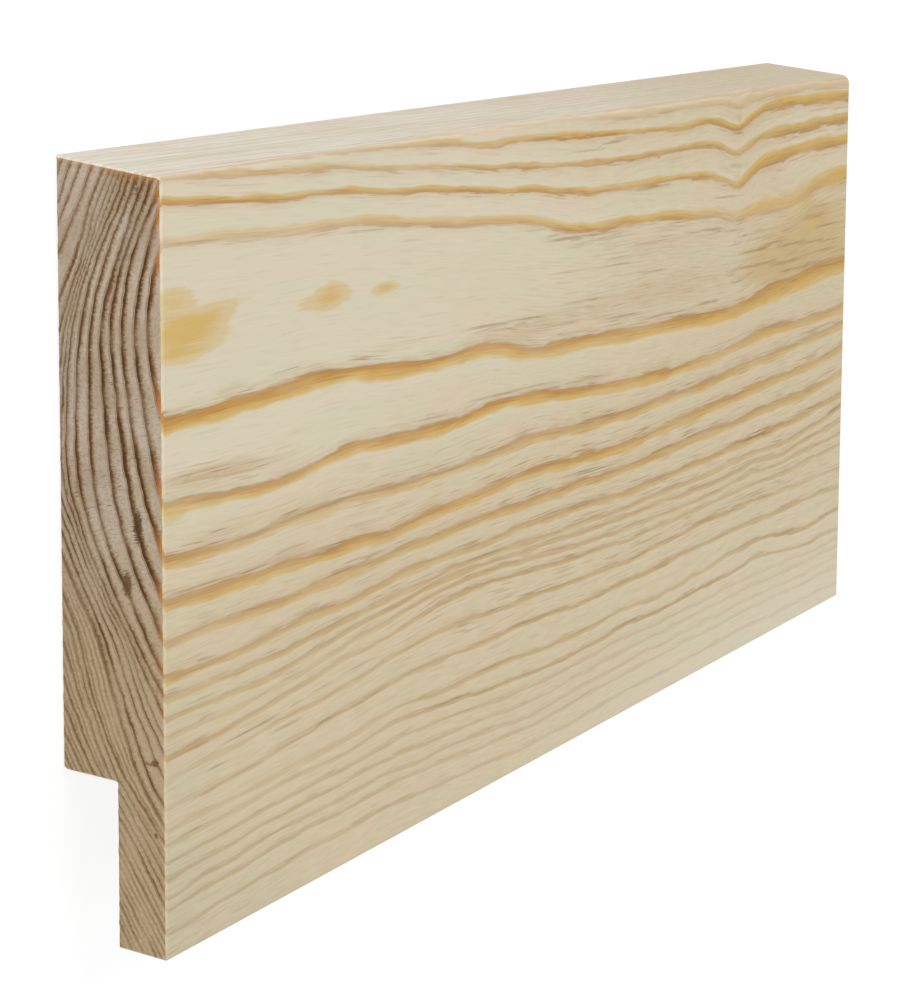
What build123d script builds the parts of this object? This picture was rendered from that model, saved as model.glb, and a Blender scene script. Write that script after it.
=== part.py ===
from build123d import *
import os

# A rebated softwood door lining board, planed from one piece of stock.
# It lies flat on its back, show face up. X runs along the board, Y across it from the
# lip to the high edge, and Z up from the back. The origin is under its middle.

# Driving dimensions, in mm
board_length = 240.0        # as sawn, end to end
board_width = 120.0         # over all, from the lip's edge to the high edge at the back
board_thickness = 20.0      # back to show face
rebate_width = 26.0         # how far the lip laps over the door frame
lip_thickness = 9.4         # what the rebate leaves under the show face
edge_lean = 2.0             # how far the high edge's face side stands in from its back side
face_arris_radius = 1.5     # eased arris between the show face and the high edge
back_arris_radius = 0.8     # eased corner of the back where the rebate starts
lip_arris_radius = 0.6      # eased front arris of the lip
cutter_corner_radius = 0.5  # what the moulding cutter leaves in the rebate's inner corner

# Lines of the section, worked out from the sizes above
lip_edge = -board_width / 2
high_edge = board_width / 2
rebate_shoulder = lip_edge + rebate_width
lip_back = board_thickness - lip_thickness


def rounded(face, corner, radius):
    """The section with the corner that stands at the given point rounded."""
    vertex = face.vertices().sort_by_distance((*corner, 0))[0]
    return fillet(vertex, radius)


def board_section():
    """The moulded section, drawn flat: its first axis is Y and its second is Z."""
    back_at_rebate = (rebate_shoulder, 0)
    back_at_edge = (high_edge, 0)
    face_at_edge = (high_edge - edge_lean, board_thickness)
    face_at_lip = (lip_edge, board_thickness)
    back_of_lip = (lip_edge, lip_back)
    rebate_corner = (rebate_shoulder, lip_back)
    outline = Polyline(
        back_at_rebate, back_at_edge, face_at_edge, face_at_lip, back_of_lip, rebate_corner,
        close=True,
    )
    section = make_face(outline)
    section = rounded(section, face_at_edge, face_arris_radius)
    section = rounded(section, back_at_rebate, back_arris_radius)
    section = rounded(section, face_at_lip, lip_arris_radius)
    return rounded(section, rebate_corner, cutter_corner_radius)


def door_lining_board():
    """The section run out to the sawn length, half of it each way from the origin."""
    return extrude(Plane.YZ * board_section(), amount=board_length / 2, both=True)


board = door_lining_board()
board.label = "door_lining_board"
os.makedirs("parts", exist_ok=True)
export_step(board, "parts/door_lining_board.step")
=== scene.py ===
"""A rebated pine door lining board, lying flat on its back on a pale floor, show face up.

The board is one piece of stock, so it is one mesh. Its section is carried along its length, its
two sawn ends are closed by a grid between the section's sides, and one field of growth rings
runs through the whole of it, so that the grain on the faces, edges and ends belongs together.
"""

import logging
from dataclasses import dataclass, field
from enum import Enum
from math import pi, radians

import bpy
import numpy as np
from mathutils import Matrix, Vector


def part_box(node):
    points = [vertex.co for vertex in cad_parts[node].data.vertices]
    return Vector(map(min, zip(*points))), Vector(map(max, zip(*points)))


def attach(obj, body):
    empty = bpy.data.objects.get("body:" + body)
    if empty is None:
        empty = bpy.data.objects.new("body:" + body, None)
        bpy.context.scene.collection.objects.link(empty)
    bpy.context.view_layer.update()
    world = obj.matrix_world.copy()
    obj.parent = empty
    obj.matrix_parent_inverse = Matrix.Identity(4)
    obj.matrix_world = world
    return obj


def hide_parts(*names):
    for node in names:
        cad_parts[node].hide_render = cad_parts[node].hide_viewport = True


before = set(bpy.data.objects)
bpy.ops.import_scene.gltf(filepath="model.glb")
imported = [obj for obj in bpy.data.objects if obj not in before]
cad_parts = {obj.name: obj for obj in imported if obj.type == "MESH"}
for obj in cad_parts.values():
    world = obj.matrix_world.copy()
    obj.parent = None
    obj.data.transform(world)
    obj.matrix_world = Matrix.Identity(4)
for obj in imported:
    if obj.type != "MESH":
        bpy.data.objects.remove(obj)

LOG = logging.getLogger("door_lining_board")
MM = 0.001
BOARD_NODE = "door_lining_board"
BODY = "root"

Socket = bpy.types.NodeSocket
Colour = tuple[float, float, float, float]
# What a node's input takes: another node's socket, or a plain number or colour
Input = Socket | float | tuple[float, ...]
# The face, the back, the lip's edge and the high edge, each a row of points
Sides = tuple[np.ndarray, np.ndarray, np.ndarray, np.ndarray]
# A mark's middle and half sizes along two axes, in mm, and its strength
Spot = tuple[float, float, float, float, float]


class Cut(Enum):
    """How a surface of the board was made."""

    PLANED = 0
    SAWN = 1


def smooth_through(stations: np.ndarray, values: np.ndarray, at: np.ndarray) -> np.ndarray:
    """A smooth curve through values given at stations.

    Between two stations the curve is a cubic whose slope at each station is the slope of the
    straight line between that station's two neighbours.

    Args:
        stations: rising places, shape (n,).
        values: one row of values for each curve, shape (m, n).
        at: the places wanted, shape (k,).
    Returns:
        the curves' values, shape (m, k).
    """
    slope = np.gradient(values, stations, axis=1)
    low = np.clip(np.searchsorted(stations, at) - 1, 0, len(stations) - 2)
    span = stations[low + 1] - stations[low]
    t = np.clip((at - stations[low]) / span, -0.5, 1.5)
    start = (2 * t**3 - 3 * t**2 + 1) * values[:, low] + (t**3 - 2 * t**2 + t) * span * slope[:, low]
    end = (3 * t**2 - 2 * t**3) * values[:, low + 1] + (t**3 - t**2) * span * slope[:, low + 1]
    return start + end


def soft_noise(places: np.ndarray, seed: int, waves: int = 9) -> np.ndarray:
    """Smooth noise of about -1 to 1: a sum of sine waves in random directions.

    Args:
        places: points in the noise's own scale, shape (n, d).
        seed: what the random directions and phases are drawn from.
        waves: how many sine waves are added.
    Returns:
        one value for each point, shape (n,).
    """
    draw = np.random.default_rng(seed)
    total = np.zeros(len(places))
    for _ in range(waves):
        direction = draw.normal(size=places.shape[1])
        total += np.sin(places @ direction * draw.uniform(0.6, 1.8) + draw.uniform(0, 2 * pi))
    return total / np.sqrt(waves)


def rise(value: np.ndarray, start: float, end: float) -> np.ndarray:
    """0 at the start, 1 at the end, even between them and held beyond them."""
    return np.clip((value - start) / (end - start), 0, 1)


def bell(value: np.ndarray, middle: float, reach: float) -> np.ndarray:
    """1 at the middle, fading on both sides as e to the minus square of the way over the reach."""
    return np.exp(-((value - middle) / reach) ** 2)


def linear(red: int, green: int, blue: int) -> Colour:
    """A colour named by its screen values, 0 to 255, as the linear colour a shader takes."""
    screen = np.array([red, green, blue]) / 255
    value = np.where(screen <= 0.04045, screen / 12.92, ((screen + 0.055) / 1.055) ** 2.4)
    return (*(float(v) for v in value), 1.0)


WHITE = linear(255, 255, 255)


@dataclass
class GrowthRings:
    """The tree's growth rings as they run through the board.

    A ring is one surface. It is given by the line it draws on the -X sawn end, and by how far up
    or down that line is carried along the board, read where it crosses the show face. All
    lengths are in mm: height from the lip's edge, depth from the back, run from the -X end.
    """

    thickness: float = 20.0
    end_heights: tuple[float, ...] = (0, 12, 24, 36, 48, 54, 60, 72, 84, 96, 108, 114, 120, 132)
    # The depth of each ring's line on the end, at the heights above, from the heart outwards
    end_depths: tuple[tuple[float, ...], ...] = (
        (74.0, 66.0, 57.0, 48.0, 41.0, 38.0, 35.0, 28.5, 22.6, 20.4, 23.4, 26.3, 29.0, 36.0),
        (70.0, 62.0, 53.0, 44.0, 36.0, 33.0, 30.0, 24.5, 19.0, 16.9, 19.6, 22.8, 26.0, 33.0),
        (66.0, 58.0, 49.0, 40.0, 32.0, 28.4, 25.0, 18.9, 16.0, 14.6, 17.3, 19.5, 23.0, 29.5),
        (63.0, 55.0, 46.0, 37.0, 28.0, 24.0, 20.4, 15.8, 13.2, 12.2, 14.8, 17.8, 20.5, 26.4),
        (61.0, 52.0, 42.5, 33.0, 24.0, 20.0, 16.6, 13.1, 11.0, 10.0, 13.4, 16.2, 18.7, 24.6),
        (58.0, 49.0, 39.0, 29.0, 19.8, 16.6, 13.5, 10.0, 8.6, 8.3, 12.3, 14.7, 17.3, 23.2),
        (55.0, 45.5, 35.0, 26.0, 16.3, 13.4, 10.0, 6.3, 5.8, 6.3, 10.2, 13.1, 15.8, 21.6),
        (53.0, 43.0, 33.0, 23.3, 14.0, 10.6, 7.5, 3.5, 3.2, 4.5, 8.7, 11.9, 14.3, 20.1),
        (51.0, 41.0, 31.0, 20.9, 12.8, 9.1, 5.8, 1.5, 1.4, 3.0, 7.6, 10.8, 13.4, 19.1),
        (48.0, 38.0, 28.0, 18.6, 11.9, 8.2, 4.9, 0.5, 0.6, 2.4, 7.0, 9.8, 12.5, 18.1),
        (45.5, 35.5, 25.5, 17.0, 11.0, 7.4, 4.1, -0.8, -0.3, 1.7, 6.5, 8.9, 11.8, 17.4),
        (42.0, 32.0, 22.3, 15.1, 9.4, 6.0, 2.7, -1.9, -1.6, 0.8, 5.7, 7.7, 10.8, 16.3),
        (38.0, 28.0, 18.6, 13.0, 7.6, 4.5, 1.4, -3.6, -3.2, -0.9, 4.4, 6.5, 9.3, 14.8),
        (35.0, 25.0, 16.4, 11.2, 6.3, 2.9, -0.5, -6.2, -6.2, -4.0, 1.2, 4.4, 7.0, 12.6),
        (32.0, 23.0, 13.8, 6.9, 2.5, -0.4, -3.2, -8.6, -8.8, -6.5, -1.2, 2.0, 4.8, 10.4),
        (30.0, 20.8, 12.0, 5.9, 1.2, -1.9, -5.0, -10.3, -10.7, -8.5, -3.0, 0.5, 2.8, 8.4),
        (28.0, 18.8, 10.6, 4.4, -1.0, -3.9, -6.8, -12.0, -12.5, -10.5, -4.8, -1.4, 1.0, 6.6),
        (25.5, 17.1, 8.9, 2.2, -3.0, -5.8, -8.5, -13.6, -14.2, -12.2, -6.4, -2.9, -0.5, 5.1),
        (23.8, 15.8, 7.5, 0.4, -5.0, -7.6, -10.2, -15.3, -16.0, -14.0, -8.0, -4.4, -2.0, 3.6),
        (21.5, 12.8, 5.2, -1.6, -7.0, -9.5, -12.0, -17.0, -17.8, -15.8, -9.7, -6.0, -3.6, 2.0),
        (16.6, 8.3, 2.6, -3.6, -9.0, -11.5, -13.9, -18.8, -19.7, -17.7, -11.5, -7.8, -5.2, 0.4),
        (14.2, 6.5, 0.6, -5.6, -11.0, -13.5, -15.9, -20.8, -21.7, -19.7, -13.5, -9.8, -7.2, -1.6),
    )
    # Further rings outside the last, each this far beyond the one before
    more_rings: int = 6
    more_spacing: float = 2.1
    # Where the lines on the end turn, and how finely their crossings are looked for from there
    turning_height: float = 96.0
    crossing_step: float = 0.05
    # How far beyond the first and last crossing the grain is carried on evenly
    margin: float = 40.0
    # Where a pin knot draws the rings above the flat-sawn middle down to a point
    pin_knot_run: float = 185.6
    pin_knot_reach: float = 2.6
    pin_knot_round: float = 0.9
    pin_knot_pull: float = 0.6
    runs: tuple[float, ...] = (
        0, 15, 30, 45, 60, 75, 90, 105, 120, 140, 160, 175, 186, 197, 210, 225, 240)
    # The heights at which rings 5 to 1 cross the show face above its flat-sawn middle
    upper_heights: tuple[tuple[float, ...], ...] = (
        (125.5, 124.5, 123.4, 122.3, 121.2, 120.2, 119.2, 118.6, 117.7,
         116.9, 116.5, 116.6, 115.9, 116.7, 117.2, 117.1, 116.5),
        (122.2, 121.0, 119.8, 118.6, 117.5, 116.7, 115.4, 115.2, 114.3,
         113.6, 113.0, 113.0, 111.4, 113.8, 114.5, 114.3, 113.8),
        (118.4, 117.1, 116.3, 115.7, 114.3, 112.9, 111.4, 110.4, 109.4,
         108.6, 108.6, 108.4, 106.0, 108.0, 108.6, 108.9, 109.2),
        (114.6, 113.3, 112.2, 111.6, 110.1, 109.1, 107.3, 106.1, 104.4,
         103.3, 103.0, 101.7, 99.7, 102.9, 103.9, 104.5, 104.3),
        (108.6, 107.9, 106.9, 106.6, 105.2, 103.4, 102.0, 100.3, 97.4,
         96.6, 95.8, 94.2, 92.9, 93.7, 93.3, 96.2, 97.0),
    )
    # The heights at which rings 1, 2, 3 and so on cross it below
    lower_heights: tuple[tuple[float, ...], ...] = (
        (81.3, 81.5, 81.8, 81.8, 80.1, 79.3, 79.2, 76.5, 75.6,
         74.5, 73.7, 73.0, 72.7, 73.8, 74.6, 75.7, 76.1),
        (69.0, 68.1, 67.5, 69.1, 68.5, 67.6, 68.9, 68.1, 66.4,
         65.1, 64.5, 64.6, 65.2, 66.0, 65.9, 65.6, 65.9),
        (61.1, 60.3, 60.8, 60.9, 60.2, 60.0, 60.0, 60.7, 59.8,
         59.0, 59.4, 59.7, 60.5, 60.6, 61.0, 61.7, 62.0),
        (54.3, 53.8, 53.8, 53.2, 52.8, 53.6, 53.9, 54.4, 53.7,
         53.0, 53.7, 54.2, 54.5, 55.0, 55.4, 55.6, 57.3),
        (48.5, 48.8, 48.4, 48.8, 49.2, 49.5, 49.5, 49.0, 49.0,
         48.4, 49.0, 49.2, 49.2, 49.7, 49.8, 50.0, 51.5),
        (43.4, 43.2, 43.8, 44.2, 44.9, 45.3, 44.9, 45.0, 44.7,
         43.7, 43.8, 44.0, 44.3, 44.4, 44.6, 45.3, 46.5),
        (40.2, 40.1, 40.1, 41.3, 42.0, 42.5, 42.4, 41.9, 41.2,
         41.0, 40.7, 40.5, 41.0, 41.1, 40.6, 41.8, 43.8),
        (37.1, 37.2, 37.3, 39.2, 40.2, 41.1, 41.0, 40.4, 39.6,
         39.2, 38.6, 38.5, 38.8, 39.0, 38.5, 39.6, 40.4),
        (34.0, 34.4, 35.2, 36.8, 38.2, 39.5, 39.4, 38.6, 37.4,
         36.8, 36.2, 36.3, 36.8, 36.9, 36.4, 37.1, 37.7),
        (31.2, 31.8, 33.3, 34.7, 35.5, 37.4, 37.4, 36.3, 35.2,
         34.5, 34.2, 34.3, 34.4, 34.4, 34.1, 34.6, 35.0),
        (27.6, 28.6, 29.3, 30.2, 31.6, 32.4, 31.8, 31.4, 30.8,
         30.0, 30.6, 31.0, 30.6, 30.6, 30.3, 30.1, 29.5),
        (23.2, 23.8, 24.9, 26.1, 27.3, 27.5, 26.9, 27.0, 26.1,
         25.9, 26.2, 26.3, 26.5, 26.3, 26.0, 26.0, 25.4),
        (20.2, 20.4, 20.8, 21.2, 22.2, 21.6, 21.6, 20.8, 20.3,
         20.7, 20.2, 20.9, 21.8, 22.1, 20.9, 19.5, 20.2),
        (17.9, 18.3, 18.9, 18.9, 20.0, 19.2, 18.0, 17.1, 16.7,
         17.2, 17.1, 17.4, 17.5, 18.4, 16.7, 15.7, 15.5),
        (15.0, 15.7, 16.3, 16.5, 17.0, 16.6, 15.4, 14.4, 14.6,
         14.9, 14.6, 14.6, 14.6, 14.4, 13.9, 13.6, 13.4),
        (12.4, 13.3, 14.0, 14.1, 14.3, 13.6, 12.7, 11.8, 12.0,
         12.4, 12.3, 12.4, 12.4, 12.3, 12.0, 11.7, 11.5),
    )

    def depths_at(self, height: np.ndarray) -> np.ndarray:
        """The depth of every ring's line on the -X end, at each height: (rings, heights)."""
        lines = np.array(self.end_depths, float)
        further = lines[-1] - self.more_spacing * np.arange(1, self.more_rings + 1)[:, None]
        return smooth_through(np.array(self.end_heights, float), np.vstack([lines, further]), height)

    def crossings(self) -> np.ndarray:
        """Where the rings of the two face tables cross the show face at the -X end, rising.

        Returns:
            the heights where they cross, shape (rings,).
        """
        found = []
        for limit, table in ((0.0, self.lower_heights), (self.end_heights[-1], self.upper_heights)):
            steps = round(abs(limit - self.turning_height) / self.crossing_step)
            height = np.linspace(self.turning_height, limit, steps + 1)
            lines = self.depths_at(height)[1:1 + len(table)]
            found.append([np.interp(self.thickness, line, height) for line in lines])
        low, high = found
        return np.array(low[::-1] + high)

    def carried_height(self, run: np.ndarray, height: np.ndarray) -> np.ndarray:
        """The height at the -X end from which the grain at a place further along comes.

        At each run the face tables give where the rings now are, and the crossings where they
        started. A height between two rings keeps its share of the way from one to the other.

        Args:
            run: distances from the -X end, shape (n,).
            height: heights, shape (n,).
        Returns:
            heights on the -X end, shape (n,).
        """
        rows = np.array(self.lower_heights[::-1] + self.upper_heights[::-1], float)
        now = smooth_through(np.array(self.runs, float), rows, run)
        away = np.hypot(run - self.pin_knot_run, self.pin_knot_round)
        pull = self.pin_knot_pull * np.exp(-away / self.pin_knot_reach)
        now[-len(self.upper_heights):] -= pull
        start = self.crossings()
        now = np.vstack([now[:1] - self.margin, now, now[-1:] + self.margin])
        start = np.concatenate([[start[0] - self.margin], start, [start[-1] + self.margin]])
        low = np.clip((now <= height).sum(axis=0) - 1, 0, len(start) - 2)
        place = np.arange(len(height))
        share = (height - now[low, place]) / (now[low + 1, place] - now[low, place])
        return start[low] + share * (start[low + 1] - start[low])

    def flat_sawn_middle(self, run: np.ndarray) -> np.ndarray:
        """The height of the show face's middle between the two crossings of ring 1."""
        halfway = (np.array(self.upper_heights[-1]) + np.array(self.lower_heights[0])) / 2
        return np.interp(run, self.runs, halfway)

    def ring_number(self, run: np.ndarray, height: np.ndarray, depth: np.ndarray) -> np.ndarray:
        """How many rings lie between the heart's side and each place, as a fraction.

        Ring k's outer edge has the number k exactly. Between two lines the number goes up
        evenly with the way from one to the other.

        Args:
            run: distances from the -X end, shape (n,).
            height: heights, shape (n,).
            depth: depths from the back, shape (n,).
        Returns:
            ring numbers, shape (n,).
        """
        lines = self.depths_at(self.carried_height(run, height))
        inner = np.clip((lines > depth).sum(axis=0) - 1, 0, len(lines) - 2)
        place = np.arange(len(depth))
        here, beyond = lines[inner, place], lines[inner + 1, place]
        return inner + (here - depth) / (here - beyond)

    def ray_place(self, run: np.ndarray, height: np.ndarray, depth: np.ndarray) -> np.ndarray:
        """A number that stays the same along a ray, square to the rings, in mm of height.

        It is the height plus the ring line's slope there, taken over a mm each way, times the
        depth from the board's middle.

        Args:
            run: distances from the -X end, shape (n,).
            height: heights, shape (n,).
            depth: depths from the back, shape (n,).
        Returns:
            one number for each place, shape (n,).
        """
        at = self.carried_height(run, height)
        lines = self.depths_at(at)
        slope = (self.depths_at(at + 1.0) - self.depths_at(at - 1.0)) / 2
        nearest = np.abs(lines - depth).argmin(axis=0)
        return height + slope[nearest, np.arange(len(depth))] * (depth - self.thickness / 2)


@dataclass
class LateWood:
    """How strong and how wide each growth ring's late wood shows.

    Strengths go from 0, which is unseen, to 1, and were judged along each ring's line on
    the show face. Widths are in mm. Each row or value belongs to one ring, from the heart out.
    """

    runs: tuple[float, ...] = (0, 30, 60, 90, 120, 150, 180, 210, 240)
    # Rings 1 to 5 above the flat-sawn middle
    upper: tuple[tuple[float, ...], ...] = (
        (0.40, 0.50, 0.65, 0.70, 0.90, 1.00, 0.50, 0.50, 1.00),
        (0.95, 0.90, 0.90, 0.90, 0.90, 0.90, 1.00, 1.05, 1.00),
        (0.45, 0.90, 0.60, 0.85, 0.95, 0.88, 0.90, 1.12, 1.05),
        (0.20, 0.35, 0.55, 0.80, 1.00, 0.98, 1.10, 1.12, 1.00),
        (0.00, 0.00, 0.00, 0.10, 0.25, 0.40, 0.45, 0.40, 0.45),
    )
    # Rings 1, 2, 3 and so on below it
    lower: tuple[tuple[float, ...], ...] = (
        (1.15, 1.10, 0.92, 0.92, 0.90, 0.98, 1.08, 1.10, 1.10),
        (0.75, 0.90, 0.95, 1.00, 1.00, 1.00, 0.80, 0.90, 0.70),
        (1.00, 0.60, 0.70, 0.65, 1.00, 0.75, 0.95, 0.75, 0.60),
        (0.95, 1.00, 0.85, 0.90, 1.00, 1.00, 0.90, 0.72, 0.70),
        (0.60, 0.90, 0.75, 0.85, 0.85, 0.95, 0.85, 0.90, 0.65),
        (0.80, 0.65, 0.72, 0.65, 0.90, 0.75, 0.90, 1.00, 0.85),
        (0.62, 0.70, 0.68, 0.68, 0.66, 0.64, 0.62, 0.64, 0.75),
        (0.62, 0.60, 0.75, 0.72, 0.66, 0.72, 0.75, 0.75, 0.62),
        (0.38, 0.32, 0.60, 0.80, 0.70, 0.62, 0.56, 0.58, 0.62),
        (0.85, 0.50, 0.55, 0.85, 0.80, 0.58, 0.52, 0.60, 0.55),
        (0.25, 0.50, 0.48, 0.78, 0.72, 0.75, 0.66, 0.52, 0.38),
        (0.22, 0.42, 0.54, 0.68, 0.80, 0.82, 0.78, 0.72, 0.55),
        (0.32, 0.38, 0.42, 0.70, 0.65, 0.75, 0.62, 0.90, 0.85),
        (0.42, 0.38, 0.50, 0.85, 0.80, 1.00, 0.90, 0.60, 0.50),
        (0.56, 0.56, 0.54, 0.50, 0.40, 0.34, 0.28, 0.26, 0.26),
        (0.60, 0.62, 0.56, 0.48, 0.38, 0.32, 0.26, 0.24, 0.22),
        (0.55, 0.56, 0.52, 0.46, 0.38, 0.30, 0.24, 0.22, 0.20),
    )
    # How wide a line is on the show face, from half its strength to half again, in mm
    lower_widths: tuple[float, ...] = (
        2.4, 2.9, 2.2, 2.0, 2.1, 1.7, 1.5, 1.1, 0.95, 0.85, 0.85, 0.85, 0.9, 0.9, 0.75, 0.65, 0.65)
    upper_widths: tuple[float, ...] = (2.4, 1.85, 1.35, 1.15, 1.25, 1.0)
    # The first ring's line below, and all those above, spread towards the far end
    spread_runs: tuple[float, ...] = (0, 60, 140, 185, 205, 240)
    lower_spread: tuple[float, ...] = (1.0, 0.95, 0.95, 1.1, 1.5, 1.5)
    upper_spread: tuple[float, ...] = (1.0, 0.95, 1.0, 1.2, 2.0, 1.8)
    # Each line's width and strength on the sawn ends
    end_widths: tuple[float, ...] = (
        0.9, 1.0, 0.9, 0.9, 0.95, 0.85, 0.8, 0.75, 0.6, 0.42, 0.5, 0.5, 0.8, 0.75, 0.6, 0.5)
    end_strengths: tuple[float, ...] = (
        0.0, 0.95, 1.0, 0.95, 1.0, 0.9, 0.85, 0.9, 0.8, 0.5, 0.75, 0.75, 0.9, 0.62, 0.6, 0.55,
        0.55, 0.6, 0.75, 0.4, 0.35, 0.5)
    # How orange each ring's line is on the face, from 1, orange, to 0, a greyish olive
    warmth: tuple[float, ...] = (
        1.0, 1.0, 0.95, 0.78, 0.9, 0.72, 0.6, 0.45, 0.45, 0.4, 0.45, 0.4, 0.35, 0.3, 0.2, 0.1)

    # From one line's value to the next's the change is eased, within this part of a ring
    eased_between: tuple[float, float] = (0.35, 0.65)
    # On the high edge and on the back: how strong and how orange a line is beside the end's or
    # the table's value, and how wide: its part of a ring, and its least and greatest mm
    edge_strength: float = 0.3
    edge_warmth: float = 0.35
    edge_line: tuple[float, float, float] = (0.4, 0.3, 1.0)
    back_strength: float = 0.8
    back_warmth: float = 0.9
    back_line: tuple[float, float, float] = (0.3, 0.4, 2.4)

    def line_place(self, ring: np.ndarray) -> np.ndarray:
        """The number of the line nearest to each place, eased half way between two lines."""
        year = np.floor(ring)
        share = rise(ring - year, *self.eased_between)
        return year + share * share * (3 - 2 * share)

    @staticmethod
    def plain_width(pitch: np.ndarray, line: tuple[float, float, float]) -> np.ndarray:
        """A line's width where no table gives it: a part of its ring, between two limits."""
        part, least, greatest = line
        return np.clip(part * pitch, least, greatest)

    def by_line(self, ring: np.ndarray, values: tuple[float, ...]) -> np.ndarray:
        """A value given for each line, at each place; the last value holds for all the rest."""
        return np.interp(self.line_place(ring), np.arange(len(values)), np.array(values))

    def face_width(self, run: np.ndarray, ring: np.ndarray, above: np.ndarray) -> np.ndarray:
        """How wide the nearest line is on the show face, in mm.

        Args:
            run: distances from the -X end, shape (n,).
            ring: ring numbers, shape (n,).
            above: whether a place is above the flat-sawn middle, shape (n,).
        Returns:
            widths, shape (n,).
        """
        upper, lower = self.by_line(ring, self.upper_widths), self.by_line(ring, self.lower_widths)
        upper_spread = np.interp(run, self.spread_runs, self.upper_spread)
        lower_spread = np.where(ring < 1.5, np.interp(run, self.spread_runs, self.lower_spread), 1.0)
        return np.where(above, upper * upper_spread, lower * lower_spread)

    def face_strength(self, run: np.ndarray, ring: np.ndarray, above: np.ndarray) -> np.ndarray:
        """How strong the late wood shows on planed wood.

        Args:
            run: distances from the -X end, shape (n,).
            ring: ring numbers, shape (n,).
            above: whether a place is above the flat-sawn middle, shape (n,).
        Returns:
            strengths, shape (n,).
        """
        line = self.line_place(ring)
        found = []
        for table in (self.lower, self.upper):
            # A ring 0, unseen, goes before the first, and the last row is held
            rows = np.vstack([np.zeros(len(self.runs)), np.array(table)])
            along = np.array([np.interp(run, self.runs, row) for row in rows])
            low = np.clip(np.floor(line).astype(int), 0, len(rows) - 1)
            high = np.clip(low + 1, 0, len(rows) - 1)
            share = np.clip(line - low, 0, 1)
            place = np.arange(len(run))
            found.append((1 - share) * along[low, place] + share * along[high, place])
        return np.where(above, found[1], found[0])


@dataclass(frozen=True)
class Marks:
    """Soft spots and short streaks, listed one by one, each a bell along and across.

    Each has its middle and half sizes, in mm, and how strong it is.
    """

    spots: tuple[Spot, ...]

    def over(self, first: np.ndarray, second: np.ndarray) -> np.ndarray:
        """All the spots' strengths added up at each place, given its two coordinates."""
        middle_1, middle_2, half_1, half_2, strength = np.array(self.spots, float).T
        along = bell(first[:, None], middle_1, half_1)
        return (strength * along * bell(second[:, None], middle_2, half_2)).sum(axis=1)


@dataclass(frozen=True)
class PalePatch:
    """Where the early wood is cream rather than tan: a bell along the board, and a rise in height.

    Its lengths are in mm. The rise may go downwards, and may be eased at its two ends.
    """

    run: float
    reach: float
    from_height: float
    full_height: float
    strength: float
    eased: bool = False

    def over(self, run: np.ndarray, height: np.ndarray) -> np.ndarray:
        """How pale each place is, from 0 to the patch's strength.

        Args:
            run: distances from the -X end, shape (n,).
            height: heights, shape (n,).
        Returns:
            the share of cream, shape (n,).
        """
        share = rise(height, self.from_height, self.full_height)
        if self.eased:
            share = share * share * (3 - 2 * share)
        return self.strength * bell(run, self.run, self.reach) * share


@dataclass(frozen=True)
class Hairs:
    """Short dark fibres of the show face, listed one by one.

    Each has its middle, half its length and half its width, in mm, and how strong it is. They
    lie along the growth rings.
    """

    spots: tuple[Spot, ...]
    reach: float = 0.6
    # The ring's slope is taken over this far each way, and kept under this
    probe: float = 2.0
    steepest: float = 0.045
    # Past this run those in the flat-sawn middle, between these heights, lie nearly level
    level_from: float = 150.0
    level_between: tuple[float, float] = (76.0, 93.0)
    level_slope: float = -0.015
    # How far aside of a hair a place is still measured
    aside_limit: float = 2.0

    def traced(self, rings: GrowthRings, run: np.ndarray, height: np.ndarray) -> tuple[np.ndarray, ...]:
        """What a shader needs to draw the hair that is nearest to each place.

        Each hair slopes as the ring does at its middle. How far a place lies to its side
        changes evenly from place to place, so a thin line can be drawn on a coarse mesh.

        Args:
            rings: the rings, whose slope the hairs take.
            run: distances from the -X end, shape (n,).
            height: heights, shape (n,).
        Returns:
            each place's hair strength, how far aside it lies in mm, and half the hair's width.
        """
        middle_run, middle_height, half_run, half_width, strength = np.array(self.spots, float).T
        further = rings.carried_height(middle_run + self.probe, middle_height)
        nearer = rings.carried_height(middle_run - self.probe, middle_height)
        slope = np.clip(-(further - nearer) / (2 * self.probe), -self.steepest, self.steepest)
        low, high = self.level_between
        level = (middle_height > low) & (middle_height < high) & (middle_run > self.level_from)
        slope[level] = self.level_slope
        aside = height[:, None] - middle_height - slope * (run[:, None] - middle_run)
        along = ((run[:, None] - middle_run) / half_run) ** 2
        weight = strength * np.exp(-(along**2) - (aside / self.reach) ** 2)
        nearest = weight.argmax(axis=1)
        place = np.arange(len(run))
        beside = np.clip(aside[place, nearest], -self.aside_limit, self.aside_limit)
        return weight[place, nearest], beside, half_width[nearest]


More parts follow.
